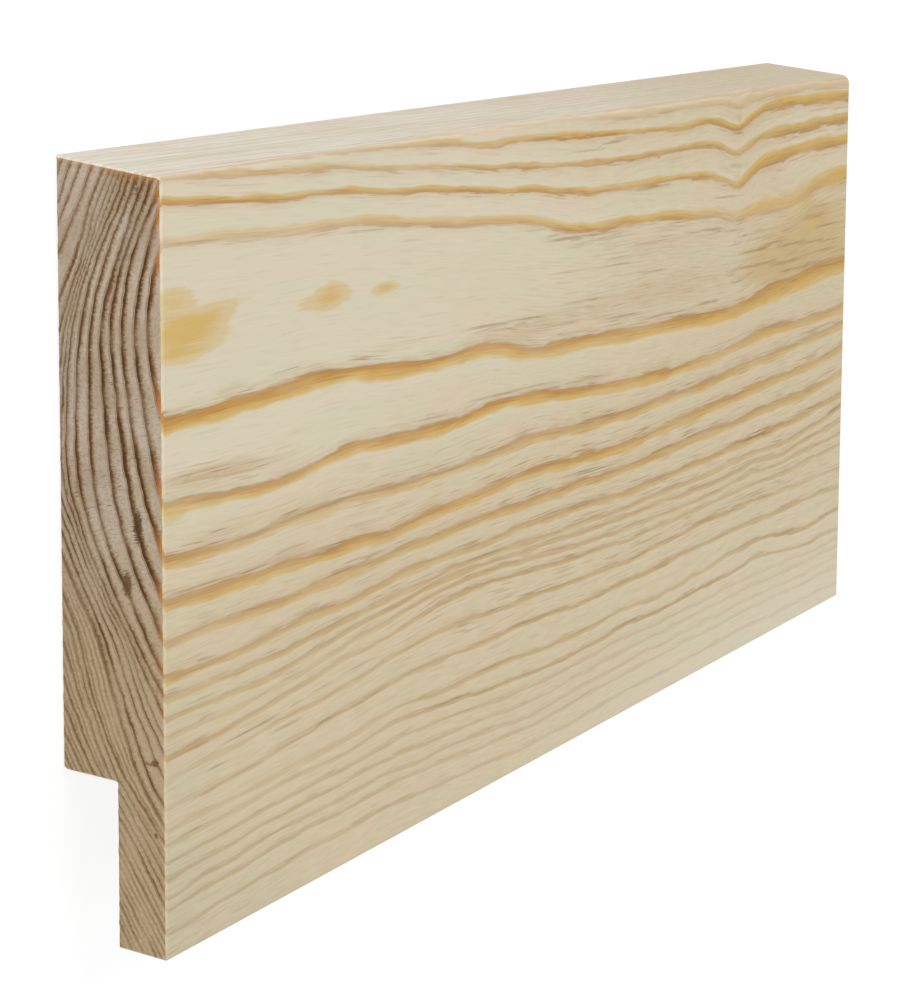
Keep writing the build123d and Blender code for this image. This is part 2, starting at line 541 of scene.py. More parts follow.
@dataclass
class Section:
    """The board's moulded section, in mm: its four sides, each a row of points.

    Height goes across the board from the lip's edge, and depth from the back to the show face.
    """

    width: float
    thickness: float
    rebate_width: float = 26.0
    lip_thickness: float = 9.4
    edge_lean: float = 2.0
    face_arris_radius: float = 1.5
    back_arris_radius: float = 0.8
    lip_arris_radius: float = 0.6
    cutter_corner_radius: float = 0.5
    # How many points each side has, and each rounded corner
    side_points: int = 40
    face_points: int = 236
    arc_points: int = 5
    half_arc_points: int = 4

    @staticmethod
    def arc(
        middle: tuple[float, float], radius: float, angles: tuple[float, float], count: int
    ) -> np.ndarray:
        """Points round an arc, between two angles in degrees from the height axis to the face's."""
        angle = np.radians(np.linspace(*angles, count))
        return np.array(middle) + radius * np.column_stack([np.cos(angle), np.sin(angle)])

    @staticmethod
    def line(start: np.ndarray, end: np.ndarray, count: int) -> np.ndarray:
        """Evenly spaced points between two points, without the two themselves."""
        share = np.linspace(0, 1, count + 2)[1:-1, None]
        return (1 - share) * np.asarray(start) + share * np.asarray(end)

    @classmethod
    def join(cls, pieces: list[np.ndarray], count: int) -> np.ndarray:
        """Arcs joined by straight stretches, which take the points that the count leaves over.

        Args:
            pieces: the arcs, or single points, in their order along the side.
            count: how many points the side has.
        Returns:
            the side's points, shape (count, 2).
        """
        lengths = [np.hypot(*(b[0] - a[-1])) for a, b in zip(pieces, pieces[1:])]
        spare = count - sum(len(p) for p in pieces)
        shares = np.floor(spare * np.array(lengths) / sum(lengths)).astype(int)
        shares[int(np.argmax(lengths))] += spare - shares.sum()
        rows = [pieces[0]]
        for before, after, points in zip(pieces, pieces[1:], shares):
            rows += [cls.line(before[-1], after[0], int(points)), after]
        return np.vstack(rows)

    def sides(self) -> Sides:
        """The section's sides.

        Each corner arc between the show face and an edge is shared at its middle.

        Returns:
            the face and the back, from the lip to the high edge, with as many points each, and
            the lip's edge and the high edge, from the face to the back, likewise.
        """
        lean = np.degrees(np.arctan2(self.edge_lean, self.thickness))
        half = (90 + lean) / 2
        arris, lip_arris = self.face_arris_radius, self.lip_arris_radius
        cutter, back_arris = self.cutter_corner_radius, self.back_arris_radius
        # The arc's middle stands one radius in from the face and from the leaning edge
        in_from_corner = arris * np.tan(np.radians((90 - lean) / 2))
        arris_middle = (self.width - self.edge_lean - in_from_corner, self.thickness - arris)
        lip_middle = (lip_arris, self.thickness - lip_arris)
        lip_back = self.thickness - self.lip_thickness
        back_of_lip = np.array([[0.0, lip_back]])
        back_at_edge = np.array([[self.width, 0.0]])
        cutter_middle = (self.rebate_width - cutter, lip_back - cutter)
        back_middle = (self.rebate_width + back_arris, back_arris)
        face = self.join([
            self.arc(lip_middle, lip_arris, (135, 90), self.half_arc_points),
            self.arc(arris_middle, arris, (90, half), self.arc_points),
        ], self.face_points)
        back = self.join([
            back_of_lip,
            self.arc(cutter_middle, cutter, (90, 0), self.arc_points),
            self.arc(back_middle, back_arris, (180, 270), self.arc_points),
            back_at_edge,
        ], self.face_points)
        lip = self.join([
            self.arc(lip_middle, lip_arris, (135, 180), self.half_arc_points), back_of_lip,
        ], self.side_points)
        high = self.join([
            self.arc(arris_middle, arris, (half, lean), self.arc_points), back_at_edge,
        ], self.side_points)
        return face, back, lip, high


@dataclass
class LiningBoard:
    """The whole board: its mesh, its grain and its two finishes."""

    low: Vector
    high: Vector
    rings: GrowthRings = field(default_factory=GrowthRings)
    late: LateWood = field(default_factory=LateWood)
    run_points: int = 101
    sharp_angle: float = 32.0
    # The arris was eased by hand, and a little less at the -X end than at the other
    arris_at_low_end: float = 0.8
    arris_at_high_end: float = 1.9
    # How far the sawn edges are worn back, and how far in along the board the wear reaches
    end_wear: float = 0.30
    end_wear_reach: float = 0.34
    # The wear's two noises: how fast each changes round the section, and its share of the wear
    wear_noises: tuple[tuple[float, float], ...] = ((1.1, 0.08), (4.3, 0.12))
    # How deep the saw's marks go, and their two noises: how fast each changes over height and
    # over depth, and its share of the marks
    end_roughness: float = 0.07
    saw_noises: tuple[tuple[float, float, float], ...] = ((1.3, 5.0, 0.35), (5.0, 2.0, 0.25))
    # How far from the show face's plane, and from the high edge's, each one's looks reach
    face_reach: float = 1.4
    edge_reach: tuple[float, float] = (1.0, 0.2)
    # On the sawn ends, how far in the line ends beside the show face and the high edge glow
    face_glow_reach: float = 2.2
    edge_glow_reach: float = 1.7
    # The ring spacing is measured this far each way, and kept between these two
    spacing_probe: float = 0.25
    spacing_limits: tuple[float, float] = (0.4, 60.0)
    # Cream in the upper part of the -X half, low down and high up at the far end, tan between
    cream: tuple[PalePatch, ...] = (
        PalePatch(10.0, 135.0, 44.0, 84.0, 1.0, eased=True),
        PalePatch(235.0, 120.0, 32.0, 0.0, 0.95),
        PalePatch(226.0, 34.0, 94.0, 100.0, 0.5),
    )
    # How pale the back, the lip's edge and the ends are
    back_paleness: float = 0.35
    # Short dark dashes come up between the first two of these heights and go between the last
    # two, and from the least share they grow to the full one between the two runs
    dash_heights: tuple[float, float, float, float] = (22.0, 30.0, 61.0, 69.0)
    dash_runs: tuple[float, float] = (30.0, 90.0)
    dash_least: float = 0.35
    resin: Marks = Marks((
        (2, 95.6, 5, 4.2, 0.7), (8.5, 94.5, 7, 2.6, 0.95), (1.5, 99.8, 6, 1.4, 0.48),
        (13, 96.9, 4.5, 1.5, 0.38), (8, 91.5, 12, 0.8, 0.42), (20, 92.7, 6, 0.8, 0.3),
        (42, 94.7, 6.5, 1.7, 0.95), (43, 96.7, 4.5, 1, 0.42), (57.8, 94.5, 4.2, 1, 0.88),
        (234, 96.2, 9, 1.8, 0.8), (222, 88, 6, 2.6, 0.5), (216, 92.5, 10, 2, 0.42),
        (194, 93.4, 9, 1.2, 0.5), (204, 93.6, 7, 1, 0.4), (194, 112.2, 5, 1.4, 0.4),
        (213, 114.6, 9, 1, 0.4), (2, 67.6, 5, 1.2, 0.5),
    ))
    # Where the flat-sawn middle comes close to the ring below and takes its brown
    heart_stain: Marks = Marks((
        (208, 84, 20, 6, 0.8), (232, 82, 18, 8, 0.75), (200, 80, 16, 3.5, 0.5),
        (225, 89.5, 14, 3, 0.55), (216, 78.6, 22, 3, 0.45), (185.8, 112.4, 1.8, 1.8, 0.75),
        (185.4, 108.4, 1.3, 1.4, 0.65), (184.8, 104.2, 1.4, 1.6, 0.6), (185.6, 100.6, 2.5, 1, 0.55),
        (188, 92, 14, 1.6, 0.3), (234, 94.6, 10, 1.8, 0.6),
    ))
    # Where many fine fibres lie over the pale wood and turn it a dull brown; the spot at run 4 and height 6
    # is painted shade over the low corner at the -X end
    veil: Marks = Marks((
        (10, 72.6, 15, 1.7, 0.8), (24, 71.3, 12, 1, 0.45), (15, 63.2, 16, 1.2, 0.45),
        (40, 61.8, 16, 1, 0.4), (56, 59.6, 8, 1, 0.45), (60, 84.3, 14, 1.2, 0.35),
        (12, 84.4, 16, 0.9, 0.3), (98, 81, 24, 2.8, 0.5), (152, 81, 46, 4.8, 0.6),
        (150, 90.5, 34, 4.2, 0.46), (190, 91, 16, 2.2, 0.35), (125, 68.6, 14, 1.2, 0.45),
        (129, 60.4, 9, 1.2, 0.6), (78, 32.8, 18, 1.6, 0.5), (160, 31.8, 28, 2, 0.42),
        (202, 31.8, 20, 1.6, 0.42), (235, 46.5, 8, 1.2, 0.4), (140, 50.8, 24, 1, 0.35),
        (226, 63, 14, 1, 0.35), (100, 56.2, 26, 0.9, 0.3), (30, 30.6, 14, 1.2, 0.35),
        (4, 6, 26, 12, 0.22), (60, 118, 60, 1.4, 0.1),
    ))
    hairs: Hairs = Hairs((
        (9, 73.2, 9, 0.35, 0.6), (7, 72.1, 7, 0.3, 0.5), (17, 71.3, 8, 0.3, 0.4),
        (13, 55.7, 12, 0.32, 0.9), (30, 56, 6, 0.3, 0.4), (52, 56.1, 6, 0.3, 0.4),
        (21, 60.8, 5, 0.4, 0.8), (40, 61.4, 12, 0.4, 0.8), (57, 60.9, 8, 0.4, 0.7),
        (68, 61.2, 4, 0.4, 0.9), (78, 60.2, 6, 0.4, 0.8), (129, 60.4, 6, 0.4, 0.9),
        (20, 30.1, 7, 0.3, 1), (25, 30.5, 6, 0.25, 0.7), (30, 28.2, 3.5, 0.3, 0.9),
        (12.5, 26.8, 2.5, 0.3, 0.8), (9, 23.4, 3, 0.35, 0.7), (18, 24, 6, 0.3, 0.5),
        (34, 25.1, 6, 0.3, 0.6), (41, 26.1, 4, 0.35, 0.8), (50, 26.3, 5, 0.3, 0.6),
        (55, 26.8, 3, 0.3, 0.7), (39, 31.8, 3, 0.25, 0.7), (50, 32.7, 5, 0.3, 0.6),
        (90, 83.6, 8, 0.35, 0.9), (103, 83, 5, 0.3, 0.9), (95, 82.2, 9, 0.3, 0.4),
        (115, 80.2, 6, 0.3, 0.7), (124, 83.4, 8, 0.35, 0.6), (138, 78.5, 7, 0.4, 0.9),
        (133, 88.8, 6, 0.35, 0.7), (117, 89.6, 6, 0.3, 0.5), (145, 86, 4, 0.35, 0.6),
        (150, 85.6, 5, 0.35, 0.8), (112, 96.9, 3, 0.3, 0.7), (117, 95.8, 7, 0.45, 1.2),
        (128, 95.4, 8, 0.3, 0.7), (130, 94.2, 12, 0.35, 0.6), (124, 93.6, 8, 0.3, 0.4),
        (148, 91.4, 6, 0.35, 0.6), (138, 92.2, 8, 0.4, 0.4), (158, 93.3, 5, 0.3, 0.6),
        (170, 91.3, 5, 0.35, 0.8), (175, 91, 4, 0.35, 0.8), (176, 90.2, 4, 0.3, 0.6),
        (152, 76.6, 6, 0.4, 0.9), (160, 76.3, 5, 0.3, 0.6), (173, 76.4, 5, 0.5, 1),
        (181, 97, 5, 0.3, 0.9), (180, 99.4, 3, 0.25, 0.8), (188.5, 88.2, 2.5, 0.35, 1.2),
        (184.5, 86.7, 2.5, 0.3, 0.9), (184, 89.8, 4, 0.3, 0.6), (185, 79, 2, 0.3, 0.9),
        (195, 84.4, 7, 0.5, 1.1), (203, 85.1, 6, 0.35, 1), (212, 83.8, 7, 0.5, 1),
        (190, 81.5, 8, 0.4, 0.8), (197, 81.2, 7, 0.5, 1), (183, 80.6, 3, 0.3, 0.6),
        (210, 80.2, 8, 0.6, 1), (222, 83.1, 8, 0.4, 0.9), (230, 82.5, 4, 0.35, 0.8),
        (225, 80.6, 9, 0.4, 0.6), (215, 78.2, 9, 0.5, 0.8), (222, 88.6, 5, 1.1, 0.8),
        (230, 86, 7, 0.4, 0.7), (238, 90.6, 3, 0.4, 0.8), (226, 90.6, 5, 0.4, 0.6),
        (200, 88.2, 8, 0.5, 0.5), (197, 86.8, 8, 0.4, 0.5), (232, 76.9, 7, 0.4, 1),
        (125, 51.1, 6, 0.35, 0.9), (131, 50.5, 5, 0.3, 0.6), (118, 51.4, 4, 0.3, 0.6),
        (47, 49.8, 5, 0.28, 0.9), (54, 50.6, 3, 0.25, 0.8), (38, 45, 5, 0.35, 0.9),
        (36, 45.8, 4, 0.3, 0.5), (35, 54.9, 8, 0.35, 0.6), (41, 54.6, 4, 0.5, 0.9),
        (122, 68.6, 5, 0.3, 0.8), (129, 68.2, 4, 0.4, 0.9), (92, 70.8, 8, 0.35, 0.9),
        (106, 70.3, 6, 0.3, 0.7), (72, 70.3, 5, 0.3, 0.7), (180, 67.1, 5, 0.3, 0.6),
        (207, 67.4, 6, 0.35, 1), (228, 63.6, 9, 0.3, 0.9), (238, 63.2, 4, 0.3, 0.8),
        (221, 57.9, 5, 0.35, 0.8), (223, 57.3, 3, 0.3, 0.7), (227, 58.8, 3, 0.3, 0.6),
        (175, 56.1, 4, 0.3, 0.7), (167, 52.4, 4, 0.3, 0.7), (172, 50.2, 7, 0.35, 0.6),
        (232, 52.7, 4, 0.3, 0.8), (226, 46.4, 3, 0.25, 0.8), (236, 43.5, 3.5, 0.7, 1.2),
        (195, 44.8, 6, 0.4, 1.6), (201, 44.3, 3, 0.3, 1.2), (188, 45, 4, 0.3, 0.8),
        (118, 45.8, 4, 0.3, 0.6), (123, 44.7, 5, 0.35, 0.8), (88, 42.8, 5, 0.3, 0.8),
        (133, 112, 4, 0.3, 0.9), (124, 111.3, 6, 0.28, 0.7), (137, 112.7, 4, 0.3, 0.6),
        (148, 102, 6, 0.3, 0.8), (185.5, 109.6, 2.2, 0.4, 1.3), (184, 103.1, 2.2, 0.8, 0.8),
        (237, 111.3, 5, 0.3, 0.9), (224, 111.7, 6, 0.4, 0.5), (137, 116.2, 4, 0.6, 0.5),
        (155, 116.2, 3, 0.6, 0.6), (52, 104.5, 5, 0.28, 0.7), (21, 106.4, 3, 0.25, 0.7),
        (8, 107.7, 6, 0.25, 0.7), (65, 101.4, 2, 0.3, 0.6), (105, 98.6, 4, 0.3, 0.5),
        (195, 32.7, 5, 0.3, 1), (182, 32.1, 5, 0.28, 0.7), (148, 32.5, 5, 0.3, 0.7),
        (200, 31, 2.5, 0.3, 0.7), (174, 31.3, 3, 0.3, 0.7), (117, 33.7, 4, 0.28, 0.6),
        (96, 33.4, 3, 0.25, 0.8), (93, 21.7, 5, 0.4, 0.5), (77, 19.3, 4, 0.4, 0.8),
        (6, 18.5, 2, 0.3, 0.7), (7, 31.2, 6, 0.5, 0.7), (105, 27.1, 7, 0.3, 0.6),
    ))
    end_smudges: Marks = Marks((
        (56.8, 13, 1.9, 0.85, 1.7), (66, 15.1, 3, 1, 1.3), (77.5, 12.4, 2.6, 0.6, 0.7),
        (80, 9.3, 3, 0.5, 0.8), (72, 10.5, 3, 0.7, 0.5), (30.4, 18.1, 0.6, 0.65, 1.6),
        (30, 16.5, 0.4, 1.1, 1), (29.5, 14.1, 0.6, 0.32, 1.4), (19.2, 18.1, 0.42, 0.32, 1.6),
        (22.9, 16, 0.4, 0.3, 1.1), (57.4, 3.4, 1.1, 0.7, 0.9), (90, 12.6, 5, 0.7, 0.6),
        (105, 17.2, 4, 0.6, 0.5), (116, 15.4, 2.2, 0.6, 0.8), (70, 3.3, 2, 0.7, 0.6),
        (62, 11.5, 2, 0.8, 0.4), (86, 10, 8, 0.8, 0.35), (47, 13.5, 2, 0.6, 0.5),
        (98, 8, 3, 0.5, 0.4),
    ))

    @property
    def length(self) -> float:
        """The board's length, in mm."""
        return (self.high.x - self.low.x) / MM

    def section(self, arris_radius: float) -> Section:
        """The section, with its overall sizes from the frame."""
        size = (self.high - self.low) / MM
        return Section(width=size.y, thickness=size.z, face_arris_radius=arris_radius)

    @staticmethod
    def loop(sides: Sides) -> np.ndarray:
        """The four sides as one closed loop of points: face, high edge, back, lip's edge."""
        face, back, lip, high = sides
        return np.vstack([face[:-1], high[:-1], back[::-1][:-1], lip[::-1][:-1]])

    @staticmethod
    def split(loop: np.ndarray) -> Sides:
        """A closed loop cut back into its four sides, as Section.sides() gives them.

        Args:
            loop: the loop's points, shape (n, 2).
        Returns:
            the face, the back, the lip's edge and the high edge.
        """
        n, m = Section.face_points - 1, Section.side_points - 1
        around = np.vstack([loop, loop[:1]])
        face, high = around[: n + 1], around[n : n + m + 1]
        back, lip = around[n + m : 2 * n + m + 1][::-1], around[2 * n + m :][::-1]
        return face, back, lip, high

    @staticmethod
    def cap(sides: Sides) -> np.ndarray:
        """The end's grid of points between the four sides.

        Each point is where the line from face to back and the line from lip to high edge would
        be, the two added, less the same for the four corners.

        Args:
            sides: the section's sides at that end.
        Returns:
            heights and depths, shape (face points, side points, 2).
        """
        face, back, lip, high = sides
        u = np.linspace(0, 1, len(face))[:, None, None]
        v = np.linspace(0, 1, len(lip))[None, :, None]
        across = (1 - v) * face[:, None] + v * back[:, None]
        along = (1 - u) * lip[None] + u * high[None]
        corners = (1 - u) * ((1 - v) * face[0] + v * back[0]) + u * ((1 - v) * face[-1] + v * back[-1])
        return across + along - corners

    @staticmethod
    def along(loop: np.ndarray) -> np.ndarray:
        """The loop's direction at each of its points, as unit vectors."""
        ahead = np.roll(loop, -1, axis=0) - np.roll(loop, 1, axis=0)
        return ahead / np.hypot(ahead[:, 0], ahead[:, 1])[:, None]

    def inset(self, loop: np.ndarray, amount: np.ndarray) -> np.ndarray:
        """The loop moved inwards by an amount at each point, square to its line there.

        Args:
            loop: the loop's points, shape (n, 2).
            amount: how far each one moves, in mm.
        Returns:
            the moved points, shape (n, 2).
        """
        ahead = self.along(loop)
        # The loop runs clockwise seen with height to the right and depth up
        inwards = np.column_stack([ahead[:, 1], -ahead[:, 0]])
        return loop + inwards * amount[:, None]

    def worn_tube(self) -> tuple[np.ndarray, np.ndarray]:
        """The section's loop at each station along the board.

        From station to station each point moves evenly from one end's section to the other's.
        The first and last loops are worn in a little, unevenly, which breaks the sawn edges.

        Returns:
            the stations, in mm from the -X end, and the loops, shape (stations, points, 2).
        """
        first = self.loop(self.section(self.arris_at_low_end).sides())
        last = self.loop(self.section(self.arris_at_high_end).sides())
        # Next to each end the stations stand closer, so that the wear stays there
        near_end = np.array([0.0, self.end_wear_reach, 1.0, 2.0])
        middle = np.linspace(near_end[-1], self.length - near_end[-1], self.run_points)[1:-1]
        stations = np.concatenate([near_end, middle, self.length - near_end[::-1]])
        share = (stations / self.length)[:, None, None]
        tube = (1 - share) * first + share * last
        for station, seed in ((0, 41), (-1, 42)):
            uneven = 1.0
            for layer, (scale, amount) in enumerate(self.wear_noises):
                uneven = uneven + amount * soft_noise(tube[station] * scale, seed + 10 * layer)
            wear = self.end_wear * np.clip(uneven, 0.5, 1.5)
            tube[station] = self.inset(tube[station], wear)
        return stations, tube

    @staticmethod
    def skin(stations: int, around: int) -> np.ndarray:
        """The faces between neighbouring loops, as the numbers of their four points.

        Args:
            stations: how many loops there are.
            around: how many points each loop has.
        Returns:
            point numbers, shape (faces, 4).
        """
        point = np.arange(around)
        ahead = np.roll(point, -1)
        rows = (np.arange(stations - 1) * around)[:, None]
        corners = [rows + point, rows + ahead, rows + around + ahead, rows + around + point]
        return np.stack(corners, axis=-1).reshape(-1, 4)

    def end_grid(self, loop: np.ndarray, base: int, made: int) -> tuple[np.ndarray, np.ndarray]:
        """A sawn end's grid, whose rim is the end's worn loop.

        Args:
            loop: the heights and depths of the loop's points.
            base: the number of the loop's first point in the mesh.
            made: how many points the mesh has so far.
        Returns:
            the number of each of the grid's points, shape (face points, side points), and the
            heights and depths of those inside its rim, which are new.
        """
        n, m, around = Section.face_points, Section.side_points, len(loop)
        index = np.empty((n, m), int)
        index[:, 0] = base + np.arange(n)
        index[-1, :] = base + (n - 1 + np.arange(m)) % around
        index[:, -1] = base + (n + m - 2 + np.arange(n)[::-1]) % around
        index[0, :] = base + (2 * n + m - 3 + np.arange(m)[::-1]) % around
        inside = index[1:-1, 1:-1]
        index[1:-1, 1:-1] = made + np.arange(inside.size).reshape(inside.shape)
        return index, self.cap(self.split(loop))[1:-1, 1:-1].reshape(-1, 2)

    def saw_marks(self, spots: np.ndarray, seed: int) -> np.ndarray:
        """How far in each point of a sawn end lies, in mm: half way, more or less two noises.

        Args:
            spots: heights and depths, shape (n, 2).
            seed: what the noises are drawn from.
        Returns:
            one distance for each point, shape (n,).
        """
        depth = 0.5
        for layer, (over_height, over_depth, share) in enumerate(self.saw_noises):
            depth = depth + share * soft_noise(spots * [over_height, over_depth], seed + 10 * layer)
        return self.end_roughness * np.clip(depth, 0, 1)

    def build(self) -> bpy.types.Object:
        """Makes the board's mesh, its grain attributes and its object.

        The loop of the section stands at each station along the board, and a grid closes each
        end, going a hair in and out with the saw's marks.

        Returns:
            the board's object.
        """
        stations, tube = self.worn_tube()
        around = tube.shape[1]
        points = np.column_stack([np.repeat(stations, around), tube.reshape(-1, 2)])
        slopes = np.array([self.along(loop) for loop in tube]).reshape(-1, 2)
        faces = [self.skin(len(stations), around)]
        cuts = [np.full(len(faces[0]), Cut.PLANED.value)]
        for station, turn, seed in ((0, 1, 61), (len(stations) - 1, -1, 62)):
            index, spots = self.end_grid(tube[station], station * around, len(points))
            marks = self.saw_marks(spots, seed)
            run = marks if station == 0 else self.length - marks
            points = np.vstack([points, np.column_stack([run, spots])])
            corners = [index[:-1, :-1], index[:-1, 1:], index[1:, 1:], index[1:, :-1]]
            faces.append(np.stack(corners, axis=-1).reshape(-1, 4)[:, ::turn])
            cuts.append(np.full(len(faces[-1]), Cut.SAWN.value))
        piece = self.as_object(points, np.vstack(faces), np.concatenate(cuts))
        self.grain(piece, points, slopes)
        return piece

    def as_object(self, points: np.ndarray, faces: np.ndarray, cuts: np.ndarray) -> bpy.types.Object:
        """Puts the points and faces into a mesh at the board's place.

        Args:
            points: run, height and depth of each point, in mm.
            faces: four points each.
            cuts: each face's finish.
        Returns:
            the board's object.
        """
        mesh = bpy.data.meshes.new("lining_board")
        place = np.array(self.low) + points * MM
        mesh.vertices.add(len(place))
        mesh.vertices.foreach_set("co", place.astype(np.float32).ravel())
        mesh.loops.add(faces.size)
        mesh.loops.foreach_set("vertex_index", faces.ravel().astype(np.int32))
        mesh.polygons.add(len(faces))
        mesh.polygons.foreach_set("loop_start", np.arange(0, faces.size, 4, dtype=np.int32))
        mesh.polygons.foreach_set("material_index", cuts.astype(np.int32))
        mesh.update(calc_edges=True)
        mesh.validate()
        mesh.shade_smooth()
        mesh.set_sharp_from_angle(angle=radians(self.sharp_angle))
        piece = bpy.data.objects.new("lining_board", mesh)
        bpy.context.scene.collection.objects.link(piece)
        return piece

    def spacing(self, points: np.ndarray, directions: list[np.ndarray]) -> np.ndarray:
        """How many mm a whole ring takes up along a surface.

        The ring number's change along each of two directions in the surface is measured a short
        way each way, and one over the length of the two together is the spacing.

        Args:
            points: run, height and depth of each point, in mm.
            directions: two unit vectors in the surface at each point.
        Returns:
            one spacing for each point.
        """
        slope = np.zeros(len(points))
        for direction in directions:
            step = self.spacing_probe * direction
            change = self.rings.ring_number(*(points + step).T) - self.rings.ring_number(*(points - step).T)
            slope += (change / (2 * self.spacing_probe)) ** 2
        return np.clip(1 / np.sqrt(np.maximum(slope, 1e-6)), *self.spacing_limits)

    def grain(self, piece: bpy.types.Object, points: np.ndarray, slopes: np.ndarray) -> None:
        """Writes what the finishes follow as attributes of the mesh's points.

        Args:
            piece: the board.
            points: run, height and depth of each point, in mm, the planed surfaces' first.
            slopes: the loop's direction, height and depth, at each planed point.
        """
        rings, late = self.rings, self.late
        run, height, depth = points.T
        ring = rings.ring_number(run, height, depth)
        runwise, up, out = (np.tile(axis, (len(points), 1)) for axis in np.eye(3))
        around = up.copy()
        around[:len(slopes), 1:] = slopes
        pitch = self.spacing(points, [runwise, around])

        section = self.section(self.arris_at_low_end)
        from_face = section.thickness - depth
        from_edge = section.width - section.edge_lean * depth / section.thickness - height
        on_face = rise(from_face, self.face_reach, 0)
        on_edge = (1 - on_face) * rise(from_edge, *self.edge_reach)
        elsewhere = 1 - on_face - on_edge
        above = height > rings.flat_sawn_middle(run)
        by_ring = late.by_line(ring, late.end_strengths)
        strength = (
            on_face * late.face_strength(run, ring, above)
            + by_ring * (late.edge_strength * on_edge + late.back_strength * elsewhere)
        )
        width = (
            on_face * late.face_width(run, ring, above)
            + on_edge * late.plain_width(pitch, late.edge_line)
            + elsewhere * late.plain_width(pitch, late.back_line)
        )
        warm = on_face + late.edge_warmth * on_edge + late.back_warmth * elsewhere
        pale = np.max([patch.over(run, height) for patch in self.cream], axis=0)
        low, full_low, full_high, high = self.dash_heights
        dashes = rise(height, low, full_low) * rise(height, high, full_high)
        dashes *= self.dash_least + (1 - self.dash_least) * rise(run, *self.dash_runs)
        hair, aside, half = self.hairs.traced(rings, run, height)
        near_face = rise(from_face, self.face_glow_reach, 0)
        near_edge = rise(from_edge, self.edge_glow_reach, 0)
        values = {
            "ring": ring,
            "pitch": pitch,
            "strength": strength,
            "band_width": width,
            # arris: the show face's upper arris, where a painted highlight lies
            "arris": 4 * on_face * (1 - on_face) * above,
            "warmth": late.by_line(ring, late.warmth) * warm,
            "pale": pale * on_face + self.back_paleness * elsewhere,
            "edge": on_edge,
            "resin": self.resin.over(run, height) * on_face,
            "stain": self.heart_stain.over(run, height) * on_face,
            "veil": self.veil.over(run, height) * on_face,
            "dashes": dashes * on_face,
            "grain_line": rings.carried_height(run, height) + from_face,
            "hair": hair * on_face,
            "hair_aside": aside,
            "hair_half": half,
            "end_pitch": self.spacing(points, [up, out]),
            "end_strength": by_ring,
            "end_width": late.by_line(ring, late.end_widths),
            "smudge": self.end_smudges.over(height, depth),
            "near_edge": np.maximum(near_face, near_edge),
            "ray": rings.ray_place(run, height, depth),
        }
        for name, value in values.items():
            attribute = piece.data.attributes.new(name, "FLOAT", "POINT")
            attribute.data.foreach_set("value", value.astype(np.float32))

    def dress(self, piece: bpy.types.Object) -> None:
        """Gives the mesh its two finishes, in the order of the cuts."""
        for finish in (PlanedPine(), SawnPine()):
            piece.data.materials.append(finish.material())


